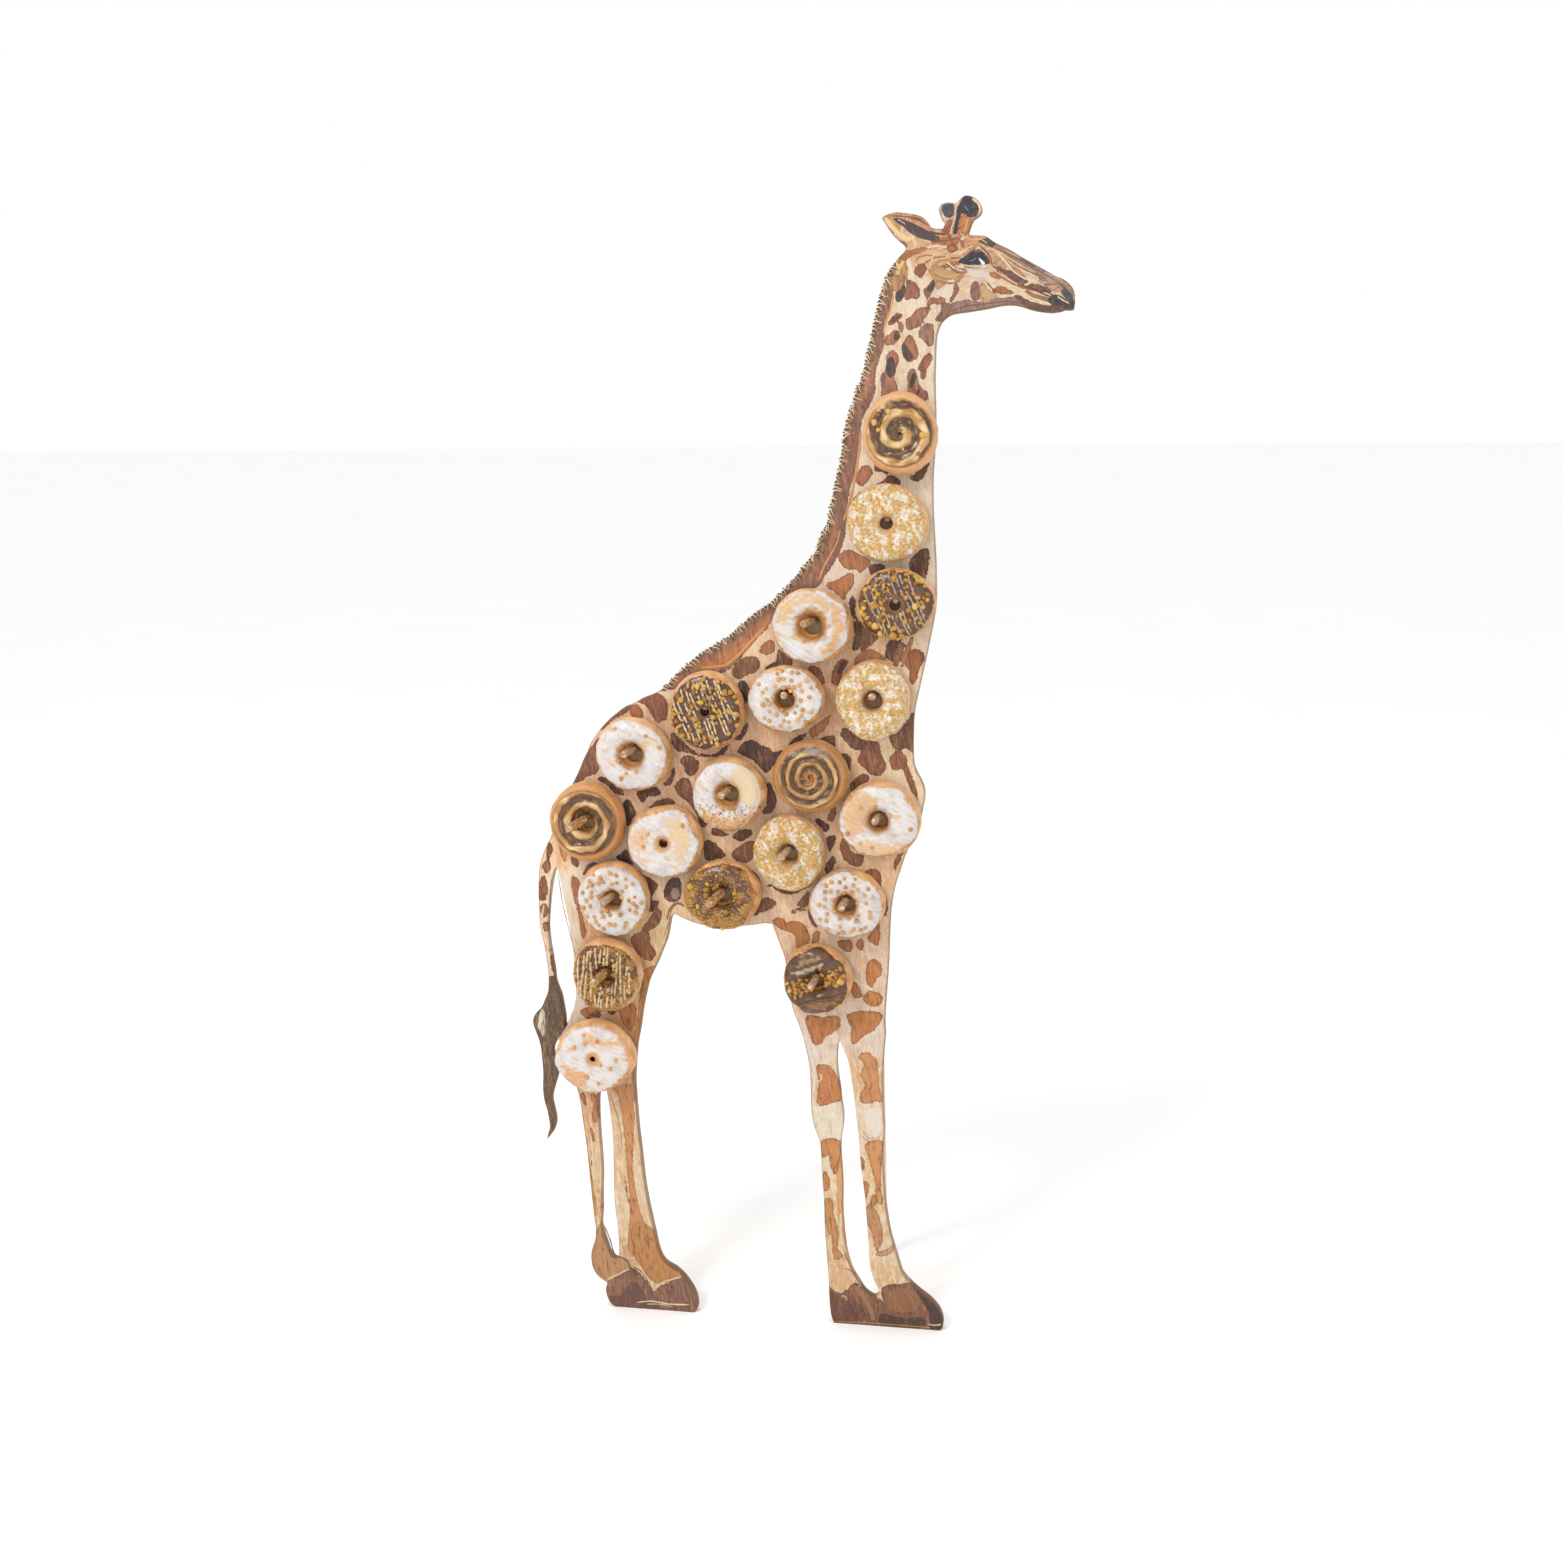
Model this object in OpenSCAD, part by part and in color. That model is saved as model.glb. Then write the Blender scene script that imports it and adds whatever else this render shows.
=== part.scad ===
// Giraffe doughnut board: a painted plywood giraffe that carries twenty ring doughnuts on
// wooden pegs and stands on its hooves and a folding strut behind it.
// X runs along the animal, nose towards +X. The painted face looks towards -Y. Z is up.

/* [Board] */
// Height of the cut-out, measured along the board
board_h = 1220; // [1000:10:1500]
// Thickness of the plywood, board and strut
board_t = 12; // [10:1:15]
// Lean of the board, in degrees back from upright
lean = 5; // [4:0.5:7]

/* [Pegs] */
// Diameter of each peg
peg_d = 8; // [6:0.5:10]
// Length of the longest peg outside the painted face; the others are shorter in proportion
peg_out = 92; // [80:1:100]

/* [Doughnuts] */
// Thickness of a doughnut from back to front
ring_t = 32; // [26:1:36]
// Diameter of the hole through a doughnut
ring_hole = 19; // [14:1:22]
// Gap between a hanging doughnut and the board
ring_gap = 1; // [0.5:0.5:4]

/* [Strut] */
// Height of the hinge pin, measured along the board
hinge_h = 700; // [600:10:720]
// Angle between the open strut and the board, in degrees
open_angle = 11.4; // [9:0.2:14]
// Width of the strut at its head
strut_head_w = 40; // [40:1:48]
// Width of the strut at its foot
strut_foot_w = 18; // [14:1:24]

/* [Hinge] */
// Length of the hinge along its pin
hinge_l = 38; // [34:1:40]
// Height of each hinge leaf
leaf_h = 24; // [20:1:30]
// Thickness of each hinge leaf
leaf_t = 1.5; // [1.2:0.1:1.8]

/* [Hidden] */
$fn = 48;
eps = 0.01;

// The outline below is drawn for an animal 1224 mm tall.
k = board_h / 1224;
ring_hole_r = ring_hole / 2;
peg_r = peg_d / 2;
hang_gap = 0.4;                                  // hole above the peg it hangs on
hang_drop = ring_hole_r - peg_r - hang_gap;      // centre of a doughnut below its peg
barrel_r = 2.6;
pin_r = 1.25;
pin_play = 0.05;
pivot_y = board_t + 2.8;                         // hinge pin, measured from the painted face
strut_x = 84 * k;
strut_gap = 0.3;                                 // strut head to board, at the open stop
screw_r = 1.5;
screw_l = 10.5;
knuckles = 5;
knuckle_gap = 0.2;
knuckle_l = hinge_l / knuckles;
foot_reach = pivot_y + (hinge_h + 1) * sin(open_angle) + board_t;

// Rings: centre along the board, height up the board, diameter, and the length of the ring's peg
// as a share of the longest. Short pegs end inside their rings.
RINGS = [
    [119, 985, 83, 0.3], [106, 893.5, 85, 0.24], [116, 809.5, 81, 0.32], [27, 786, 84, 0.86],
    [-1, 708, 78, 0.38], [-87, 694, 84, 0.32], [92.5, 708, 83, 0.38], [-169, 645, 83, 0.68],
    [-63, 604, 82, 0.72], [26, 625, 81, 0.3], [100, 580, 87, 0.68], [-222, 569, 87, 1],
    [-134.5, 549, 84, 0.28], [2.5, 541, 81, 0.8], [-71, 492.5, 81, 1], [-193, 484, 82, 0.8],
    [65.5, 487.5, 79, 0.72], [-202, 398, 81, 0.84], [34, 402, 78, 0.78], [-217, 303, 88, 0.26]
];

// The frame's origin lies midway between the foremost peg tip and the strut's foot.
front_y = min([for (r = RINGS) r[1] * k * sin(lean) - r[3] * peg_out * cos(lean)]);
shift_y = -(front_y + foot_reach) / 2;

// Outline points [x, z]; a third value of 1 marks a corner. They run clockwise.
MANE = [
    [-136, 718, 1], [-127, 727], [-120, 734], [-112, 741.5], [-98, 753], [-82, 763], [-65, 773],
    [-50, 787], [-35, 799], [-20, 809], [-9, 820], [1, 830], [10, 841], [21, 854], [28, 862],
    [31.5, 873], [35, 883], [41, 892], [43, 905], [46, 920], [49.5, 936], [53, 952], [56, 968],
    [58, 985], [62, 1002], [66, 1014], [70, 1028], [75, 1040], [79, 1052], [82, 1068],
    [85.5, 1082], [89, 1098], [92, 1112], [95.5, 1127], [99.5, 1140], [104, 1151, 1]
];
HEAD = [
    [104, 1151, 1], [108, 1157], [113, 1164], [119.5, 1170.5], [120.3, 1174, 1], [117.5, 1178],
    [112, 1182.5], [105.5, 1189], [100, 1197], [95.4, 1204, 1], [100, 1207], [110, 1209.4],
    [122, 1208], [132.5, 1206], [139, 1202.5], [143.5, 1198], [146, 1193.7], [151, 1192],
    [158.5, 1192, 1], [160.5, 1197.5], [157, 1201.5], [155, 1206.5], [154.3, 1211],
    [156, 1215.5], [160.5, 1217.4], [166, 1217.5], [171, 1216, 1], [175, 1220], [180.5, 1224],
    [187, 1223], [193, 1219.8], [197, 1214.5], [198, 1209], [195, 1204], [190, 1201, 1],
    [187.5, 1196], [185, 1188.5], [185.2, 1185.5, 1], [192, 1184.3], [200, 1184],
    [205, 1181.6], [212, 1176.8], [227, 1169.3], [239, 1162], [250, 1155.7], [261.5, 1149.3],
    [273, 1142.6], [281.5, 1139], [287, 1135], [291.2, 1130], [293.3, 1123.5], [293.6, 1115.5],
    [292.6, 1109.5, 1], [288.6, 1108.8], [284, 1109], [279.5, 1107.6], [270, 1106.6],
    [257, 1108.2], [248, 1110.5], [238, 1113.8], [228, 1115], [218, 1114.3], [203, 1111.5],
    [187, 1109.2], [175, 1107.8], [168, 1106.4], [162.5, 1103], [158, 1098.4], [155, 1092],
    [153.3, 1085.5], [152.6, 1076], [152.3, 1062]
];
CHEST = [
    [152, 1046], [152.4, 1029], [153.2, 1009], [153.5, 990], [152.6, 965], [151.4, 945],
    [151.2, 928], [151.7, 910], [153, 888], [155, 860], [155.8, 838], [156.2, 812], [154, 793],
    [150.8, 776], [147, 756], [142.5, 735], [138.5, 716], [135, 699], [133.6, 685],
    [133.3, 666], [133.4, 652], [134.6, 638], [137.7, 629.3], [143, 619.5], [146, 611],
    [146.4, 602], [144.8, 592], [142.6, 580], [140, 567], [138, 560], [131.7, 550],
    [125.5, 536.5], [120, 519], [114.6, 501], [111.3, 480], [110.1, 460], [109.6, 440],
    [108.8, 415], [107, 385], [105.4, 355], [106.1, 336], [104.6, 317], [103.7, 290],
    [104, 262], [105, 243], [106, 231], [105.2, 219], [104.7, 203], [105, 187], [106.2, 169],
    [107.8, 149], [110.2, 130.6], [113.8, 110.3], [119.4, 90.2], [123.8, 76], [128.1, 63.3],
    [137.1, 53.2], [147.1, 44.8], [158.3, 36.4], [165.8, 29], [170.6, 22], [173.5, 13.5],
    [173.7, 5], [170, 0, 1]
];
FORELEG_BACK = [
    [51, 0, 1], [48, 8], [46.3, 20], [45.3, 35], [45, 49], [43.4, 69], [41.7, 89], [40, 114],
    [39, 146], [37, 174], [35.7, 197], [34.5, 211], [31.4, 220], [27.5, 230], [25, 243],
    [24, 260], [23.4, 283], [22.3, 297], [19.8, 311], [15.7, 328.6], [10, 345.7], [3, 364],
    [-2, 390], [-4, 408], [-5.5, 420], [-9.1, 430], [-13.6, 442], [-19.5, 457.5, 1]
];
BELLY = [
    [-28, 458], [-39, 456], [-50, 454.5], [-62, 452.5], [-75, 451.5], [-88, 452.5],
    [-100, 454], [-110, 456.7], [-121, 461], [-129, 465, 1]
];
HINDLEG_FRONT = [
    [-133.5, 460], [-135.5, 451], [-138.5, 436], [-143, 424.5], [-149.4, 409],
    [-154.8, 398], [-160.2, 385.5], [-164.8, 367], [-168, 350], [-170.8, 331], [-174, 315],
    [-176, 295], [-177.5, 272.5], [-176.8, 255], [-175.5, 235], [-173.5, 210], [-171, 188],
    [-168, 157], [-164.3, 132], [-159, 106], [-155, 87], [-151.3, 70.5], [-144.7, 58],
    [-131.7, 50.2], [-121.8, 41.5], [-113.3, 29.8], [-109, 21.3], [-106.8, 12], [-107.2, 4],
    [-111, 0, 1]
];
HINDLEG_BACK = [
    [-204, 0, 1], [-209.5, 5], [-213.3, 14], [-214, 22], [-212.6, 28], [-218.4, 32],
    [-224, 36.5], [-229, 45], [-231, 55.5], [-230, 67], [-226.3, 78], [-225, 91],
    [-227, 109.5], [-229.5, 136], [-231.6, 159.5], [-234, 188], [-237.4, 215], [-240.8, 241],
    [-244, 256], [-247.5, 266], [-252, 276], [-257, 287], [-261, 298], [-263.5, 308],
    [-264.5, 316, 1]
];
TUFT = [
    [-268.5, 312], [-272, 305], [-272.3, 298], [-268.3, 291], [-266, 282], [-268, 272],
    [-271, 262], [-274, 252], [-275.5, 243], [-273.5, 232], [-271.5, 222], [-271.5, 214],
    [-274, 206], [-277.5, 200.5], [-281, 196, 1], [-279.5, 203], [-277.5, 210],
    [-278, 219], [-280, 230], [-283, 241], [-284.5, 252], [-284.5, 262], [-284, 275],
    [-285, 290], [-286.5, 306], [-290, 318], [-294.3, 330], [-294.3, 338], [-290, 345.5],
    [-284.5, 351], [-280.5, 360], [-276.5, 370], [-275.5, 383, 1]
];
TAIL = [
    [-275.7, 394], [-277.5, 408], [-280, 424], [-283, 437], [-284.7, 450], [-285.3, 468],
    [-285.3, 485], [-284.7, 502], [-282.5, 517], [-278.3, 530], [-272.5, 542], [-267, 553],
    [-261, 567], [-256, 580], [-250, 595], [-243, 609], [-235.8, 623], [-231.7, 633],
    [-226.7, 643], [-222.5, 653], [-218, 660], [-210, 670.5], [-200, 681], [-192.7, 687],
    [-183.5, 694], [-176, 697.5], [-170, 700], [-163.5, 704], [-156.4, 707], [-147, 711],
    [-136, 718, 1]
];
TAIL_GAP = [
    [-263.5, 514, 1], [-261, 505], [-258.7, 495], [-255.5, 475], [-251, 452.5],
    [-248.7, 435], [-246.3, 418], [-245, 400], [-244, 385], [-243.7, 368], [-246, 355],
    [-251, 342], [-255, 334], [-258, 329, 1], [-258.3, 341], [-259.6, 350], [-262.3, 365],
    [-266, 375], [-268.7, 384], [-269.3, 393], [-271.2, 405], [-273.6, 420], [-275.4, 437],
    [-275.6, 450], [-274, 468], [-272, 485], [-269.3, 500], [-266.5, 510]
];
HIND_GAP = [
    [-213.5, 272, 1], [-210.5, 262], [-209, 251.6], [-206.6, 236], [-204, 212], [-203, 191],
    [-203, 167], [-203, 144], [-202, 122.6], [-199.5, 99], [-198, 80.5], [-198, 68],
    [-199.5, 60], [-202.5, 57], [-208.5, 62], [-213, 75], [-217.2, 88], [-219, 99],
    [-217.8, 115], [-217.8, 136], [-217, 157], [-217.8, 183], [-219.5, 209.5],
    [-220.3, 236], [-219.5, 251.6], [-217, 262]
];
FORE_GAP = [
    [55.5, 331, 1], [59, 322], [65.7, 305.7], [69.7, 283], [72.9, 260], [75.7, 237],
    [78, 217], [79.4, 197], [82, 174], [85, 151], [87.4, 123], [89.7, 94], [91.4, 71],
    [94.9, 57], [99.5, 47], [103, 39.5, 1], [98, 34], [92, 35.5], [85, 41], [77, 53],
    [70, 66], [65.4, 82], [63.2, 95], [61.3, 112], [59.8, 134], [59.8, 157], [59, 177],
    [57.4, 197], [57.4, 214], [59.8, 231], [60.1, 246], [57.8, 260], [56.4, 274],
    [54.1, 288.6], [52.7, 305.7], [53.4, 320]
];

steps = 3;       // curve pieces between two outline points
tooth = 1.5;     // typical height of a tuft of the mane

// One point of a Catmull-Rom curve between b and c.
function curve_point(a, b, c, d, t) = [for (i = [0, 1])
    0.5 * (2 * b[i] + (c[i] - a[i]) * t + (2 * a[i] - 5 * b[i] + 4 * c[i] - d[i]) * t * t
        + (3 * b[i] - a[i] - 3 * c[i] + d[i]) * t * t * t)];

// A closed outline smoothed between its corners.
function smooth(p, n) = let (m = len(p)) [for (i = [0 : m - 1])
    let (b = p[i], c = p[(i + 1) % m],
        a = b[2] == 1 ? b : p[(i + m - 1) % m], d = c[2] == 1 ? c : p[(i + 2) % m])
    for (s = [0 : n - 1]) curve_point(a, b, c, d, s / n)];

// Height of one tuft: they differ, and only the neck's upper half has tall ones.
function tuft_size(i, z) = tooth * (0.35 + 0.65 * abs(sin(i * 77))) * (z > 850 ? 1 : 0.55);

// The mane's edge: a short tuft between each pair of points of the smoothed curve.
function tufted(p) = [for (i = [0 : len(p) - 2])
    let (d = p[i + 1] - p[i], l = norm(d), out = [-d[1], d[0]] / l)
    each [p[i], p[i] + 0.55 * d + tuft_size(i, p[i][1]) * out]];

mane_steps = 4;
mane_curve = [for (i = [0 : len(MANE) - 2])
    let (b = MANE[i], c = MANE[i + 1],
        a = i == 0 ? b : MANE[i - 1], d = i + 2 > len(MANE) - 1 ? c : MANE[i + 2])
    for (s = [0 : mane_steps - 1]) curve_point(a, b, c, d, s / mane_steps)];
body_line = smooth(concat(HEAD, CHEST, FORELEG_BACK, BELLY, HINDLEG_FRONT, HINDLEG_BACK,
    TUFT, TAIL), steps);
// The body's line ends at the withers, and its last curve back to the nape is the mane's.
outline = concat(tufted(mane_curve), [for (i = [0 : len(body_line) - steps]) body_line[i]]);

function two(n) = str(n < 10 ? "0" : "", n);
PEGS = [for (i = [1 : len(RINGS)]) str("peg_", two(i))];
DOUGHNUTS = [for (i = [1 : len(RINGS)]) str("doughnut_", two(i))];

// From the board's own plane to the standing part.
module stand() {
    translate([0, shift_y, 0]) rotate([-lean, 0, 0]) children();
}

// Cuts everything off flush with the floor.
module above_floor() {
    difference() {
        children();
        translate([-board_h, -board_h, -board_h / 2]) cube([2 * board_h, 2 * board_h, board_h / 2]);
    }
}

// From the hinge's own frame to the board's: pin along X, Y away from the board, Z up.
module hinge_frame(angle) {
    translate([strut_x, pivot_y, hinge_h]) rotate([angle, 0, 0]) children();
}

// An outline in X and Z, from y0 to y1.
module slab(points, y0, y1) {
    translate([0, y1, 0]) rotate([90, 0, 0]) linear_extrude(y1 - y0) polygon(points);
}

// Moves its children to peg i, Z out of the painted face.
module at_peg(i) {
    translate([RINGS[i][0] * k, 0, RINGS[i][1] * k + hang_drop]) rotate([90, 0, 0]) children();
}

module board() {
    color("burlywood") above_floor() stand() difference() {
        slab(k * outline, 0, board_t);
        for (gap = [TAIL_GAP, HIND_GAP, FORE_GAP])
            slab(k * smooth(gap, steps), -1, board_t + 1);
        for (i = [0 : len(RINGS) - 1])
            at_peg(i) translate([0, 0, -board_t - 1]) cylinder(r = peg_r, h = board_t + 2);
        hinge_frame(0) screws(-1);
    }
}

// A dowel with a rounded front end, flush with the back of the board.
module peg(i) {
    round_r = 2.4;
    tip = RINGS[i][3] * peg_out;
    profile = concat([[0, -board_t], [peg_r, -board_t]],
        [for (a = [0 : 15 : 90])
            [peg_r - round_r + round_r * cos(a), tip - round_r + round_r * sin(a)]],
        [[0, tip]]);
    color("ivory") stand() at_peg(i) rotate_extrude() polygon(profile);
}

// A ring doughnut that hangs on its peg, its back close to the board.
module doughnut(i) {
    ring_r = RINGS[i][2] / 2;
    half_w = (ring_r - ring_hole_r) / 2;
    squareness = 0.9;
    profile = [for (a = [0 : 15 : 345])
        [ring_hole_r + half_w + half_w * sign(cos(a)) * pow(abs(cos(a)), squareness),
         ring_t / 2 * sign(sin(a)) * pow(abs(sin(a)), squareness)]];
    color(i % 3 == 0 ? "saddlebrown" : i % 3 == 1 ? "wheat" : "linen")
        stand() at_peg(i) translate([0, -hang_drop, ring_gap + ring_t / 2])
        rotate_extrude($fn = 64) polygon(profile);
}

// Strut: wide head with a bevel that rests against the board, narrow foot cut to the floor.
module strut() {
    head_top = 60;
    head_low = -120;
    taper_low = -330;
    w1 = strut_head_w / 2;
    w2 = strut_foot_w / 2;
    inner = pivot_y - board_t;
    foot = -hinge_h - 40;
    points = [[-w1, head_top], [w1, head_top], [w1, head_low], [w2, taper_low], [w2, foot],
        [-w2, foot], [-w2, taper_low], [-w1, head_low]];
    color("tan") above_floor() stand() difference() {
        hinge_frame(open_angle) difference() {
            slab(points, inner, inner + board_t);
            screws(1);
        }
        translate([0, -board_t, hinge_h - 50])
            cube([board_h / 4, 2 * board_t + strut_gap, 200]);
    }
}

// Three countersunk screws through a leaf. side -1: into the board, 1: into the strut.
module screws(side) {
    head_r = 2.8;
    face = pivot_y - board_t - leaf_t;
    profile = [[0, 0], [head_r, 0], [screw_r, leaf_t - 0.2], [screw_r, screw_l - 2], [0, screw_l]];
    for (p = [[-12, -10], [0, -18], [12, -10]])
        translate([p[0], side * face, p[1]]) rotate([-90 * side, 0, 0])
            rotate_extrude() polygon(profile);
}

// One leaf with its share of the knuckles. side -1: on the board, 1: on the strut.
module leaf(side, first, bore_r) {
    face = pivot_y - board_t - leaf_t;
    low = side < 0 ? -face - leaf_t : face;
    notch = barrel_r + 0.8;
    difference() {
        union() {
            translate([-hinge_l / 2, low, -leaf_h]) cube([hinge_l, leaf_t, leaf_h - notch]);
            for (i = [first : 2 : knuckles - 1])
                translate([-hinge_l / 2 + i * knuckle_l + knuckle_gap / 2, 0, 0]) {
                    rotate([0, 90, 0]) cylinder(r = barrel_r, h = knuckle_l - knuckle_gap);
                    translate([0, low, -notch - eps])
                        cube([knuckle_l - knuckle_gap, leaf_t, notch + eps]);
                }
        }
        translate([-hinge_l, 0, 0]) rotate([0, 90, 0]) cylinder(r = bore_r, h = 2 * hinge_l);
        screws(side);
    }
}

module hinge_leaf_fixed() {
    color("silver") stand() hinge_frame(0) leaf(-1, 0, pin_r);
}

module hinge_leaf_moving() {
    color("silver") stand() hinge_frame(open_angle) leaf(1, 1, pin_r + pin_play);
}

module hinge_pin() {
    head = 1;
    color("gray") stand() hinge_frame(0) rotate([0, 90, 0]) {
        translate([0, 0, -hinge_l / 2 - head]) cylinder(r = pin_r, h = hinge_l + 2 * head);
        translate([0, 0, -hinge_l / 2 - head]) cylinder(r = barrel_r - 0.6, h = head);
    }
}

module hinge_screws_fixed() {
    color("gainsboro") stand() hinge_frame(0) screws(-1);
}

module hinge_screws_moving() {
    color("gainsboro") stand() hinge_frame(open_angle) screws(1);
}

board();
for (i = [0 : len(RINGS) - 1]) {
    peg(i);
    doughnut(i);
}
strut();
hinge_leaf_fixed();
hinge_leaf_moving();
hinge_pin();
hinge_screws_fixed();
hinge_screws_moving();
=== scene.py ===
"""The looks of the giraffe doughnut board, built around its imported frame."""
import math

import bmesh
import bpy
import numpy as np
from mathutils import Matrix, Vector, geometry, kdtree

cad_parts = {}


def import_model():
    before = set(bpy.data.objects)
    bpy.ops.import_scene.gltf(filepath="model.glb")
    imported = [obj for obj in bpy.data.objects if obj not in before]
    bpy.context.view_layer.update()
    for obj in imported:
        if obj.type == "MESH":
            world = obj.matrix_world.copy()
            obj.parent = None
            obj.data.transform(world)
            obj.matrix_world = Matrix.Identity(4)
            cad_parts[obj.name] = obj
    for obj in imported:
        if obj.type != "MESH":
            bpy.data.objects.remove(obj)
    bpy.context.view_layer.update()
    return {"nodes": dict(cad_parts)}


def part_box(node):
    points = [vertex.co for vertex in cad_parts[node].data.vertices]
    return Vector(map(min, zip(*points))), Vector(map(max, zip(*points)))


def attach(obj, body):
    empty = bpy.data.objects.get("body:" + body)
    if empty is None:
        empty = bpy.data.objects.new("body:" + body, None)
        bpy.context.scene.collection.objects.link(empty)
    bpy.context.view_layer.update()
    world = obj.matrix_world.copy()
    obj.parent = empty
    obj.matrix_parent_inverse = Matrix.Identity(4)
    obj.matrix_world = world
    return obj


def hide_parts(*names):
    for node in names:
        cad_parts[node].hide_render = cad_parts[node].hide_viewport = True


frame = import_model()
NODES = frame["nodes"]

# ---------------------------------------------------------------- the board's own coordinates
# Paint and doughnuts are laid out in drawing units: x along the animal, z up the board, on a
# drawing 1224 units tall that stands for 1.22 m. Depths in front of the painted face are in mm.
LEAN = math.radians(5)
DRAWN_TOP = 1224
SCALE = 1.22 / DRAWN_TOP
MM = 0.001
BOARD_T = 12
FOOT_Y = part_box("board")[0].y
ACROSS = Vector((1, 0, 0))
UP = Vector((0, math.sin(LEAN), math.cos(LEAN)))
OUT = Vector((0, -math.cos(LEAN), math.sin(LEAN)))
SEED = 7
STUDIO = (1.34, 1.35, 1.38)


def world(x, z, out=0.0):
    """World place of drawing point (x, z), `out` mm in front of the painted face."""
    return Vector((0, FOOT_Y, 0)) + ACROSS * (x * SCALE) + UP * (z * SCALE) + OUT * (out * MM)


def world_array(x, z, out):
    """The same for arrays."""
    flat = [np.asarray(v, float)[..., None] for v in (x * SCALE, z * SCALE, out * MM)]
    return (np.array([0, FOOT_Y, 0]) + flat[0] * np.array(ACROSS) + flat[1] * np.array(UP)
            + flat[2] * np.array(OUT))


def tone(code):
    """Linear colour of a six-figure chart code, which is the look under the studio's light."""
    chart = np.array([int(code[i:i + 2], 16) for i in (0, 2, 4)]) / 255
    return np.where(chart <= 0.04045, chart / 12.92, ((chart + 0.055) / 1.055) ** 2.4) / STUDIO


def smoothstep(low, high, value):
    t = np.clip((value - low) / (high - low), 0, 1)
    return t * t * (3 - 2 * t)


def waves(places, size, seed, count=9):
    """A smooth random field between about -1 and 1, with lumps of the given size."""
    rng = np.random.default_rng(seed)
    dims = places.shape[-1]
    total = 0
    for _ in range(count):
        heading = rng.normal(size=dims)
        heading *= rng.uniform(0.7, 1.4) / np.linalg.norm(heading)
        total = total + np.sin(places @ heading * (math.tau / (2 * size)) + rng.uniform(0, math.tau))
    return total / math.sqrt(count)


def curve_through(points, closed=True, pieces=3):
    """Points of a Catmull-Rom curve through the given ones."""
    points = np.array(points, float)
    count = len(points)
    result = []
    for i in range(count if closed else count - 1):
        if closed:
            a, b, c, d = (points[(i + j) % count] for j in (-1, 0, 1, 2))
        else:
            a, b, c, d = (points[min(max(i + j, 0), count - 1)] for j in (-1, 0, 1, 2))
        for step in range(pieces):
            t = step / pieces
            result.append(0.5 * (2 * b + (c - a) * t + (2 * a - 5 * b + 4 * c - d) * t * t
                                 + (3 * b - a - 3 * c + d) * t ** 3))
    if not closed:
        result.append(points[-1])
    return np.array(result)


# ---------------------------------------------------------------- meshes
class Shape:
    """Gathers vertices and faces, then makes one object that rides on a body."""

    def __init__(self):
        self.verts, self.tints, self.gloss, self.faces = [], [], [], []
        self.count = 0

    def add(self, verts, faces, tint, gloss=0.5):
        """Faces are one array of triangles or quads; tint is one colour or one per vertex."""
        verts = np.asarray(verts, float)
        self.verts.append(verts)
        self.tints.append(np.broadcast_to(tint, verts.shape))
        self.gloss.append(np.broadcast_to(gloss, len(verts)))
        self.faces.append(np.asarray(faces) + self.count)
        self.count += len(verts)

    def add_tube(self, verts, sides, ends, tint, gloss=0.5):
        """The tube's sides, then its end caps, which share the sides' vertices."""
        self.add(verts, sides, tint, gloss)
        self.add(verts[:0], ends - len(verts), tint, gloss)

    def make(self, name, material, body):
        mesh = bpy.data.meshes.new(name)
        verts = np.concatenate(self.verts)
        corners = np.concatenate([f.ravel() for f in self.faces])
        sizes = np.concatenate([np.full(len(f), f.shape[1]) for f in self.faces])
        mesh.vertices.add(len(verts))
        mesh.vertices.foreach_set("co", verts.ravel())
        mesh.loops.add(len(corners))
        mesh.loops.foreach_set("vertex_index", corners.astype(np.int32))
        mesh.polygons.add(len(sizes))
        starts = np.concatenate([[0], np.cumsum(sizes)[:-1]])
        mesh.polygons.foreach_set("loop_start", starts.astype(np.int32))
        mesh.update(calc_edges=True)
        mesh.polygons.foreach_set("use_smooth", np.ones(len(sizes), bool))
        set_colour(mesh, "tint", np.concatenate(self.tints))
        set_number(mesh, "gloss", np.concatenate(self.gloss))
        mesh.materials.append(material)
        piece = bpy.data.objects.new(name, mesh)
        bpy.context.scene.collection.objects.link(piece)
        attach(piece, body)
        return piece


def set_colour(mesh, name, colours):
    layer = mesh.attributes.new(name, "FLOAT_COLOR", "POINT")
    layer.data.foreach_set("color", np.column_stack([colours, np.ones(len(colours))]).ravel())


def set_number(mesh, name, values):
    layer = mesh.attributes.new(name, "FLOAT", "POINT")
    layer.data.foreach_set("value", np.asarray(values, np.float32))


def tube_faces(count, sides):
    """Side quads and end caps of a tube with `count` rings of vertices."""
    ring = np.arange(sides)
    first = np.arange(count - 1)[:, None] * sides
    here, beside = first + ring, first + (ring + 1) % sides
    quads = np.stack([here, beside, beside + sides, here + sides], -1).reshape(-1, 4)
    return quads, np.array([ring[::-1], (count - 1) * sides + ring])


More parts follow.
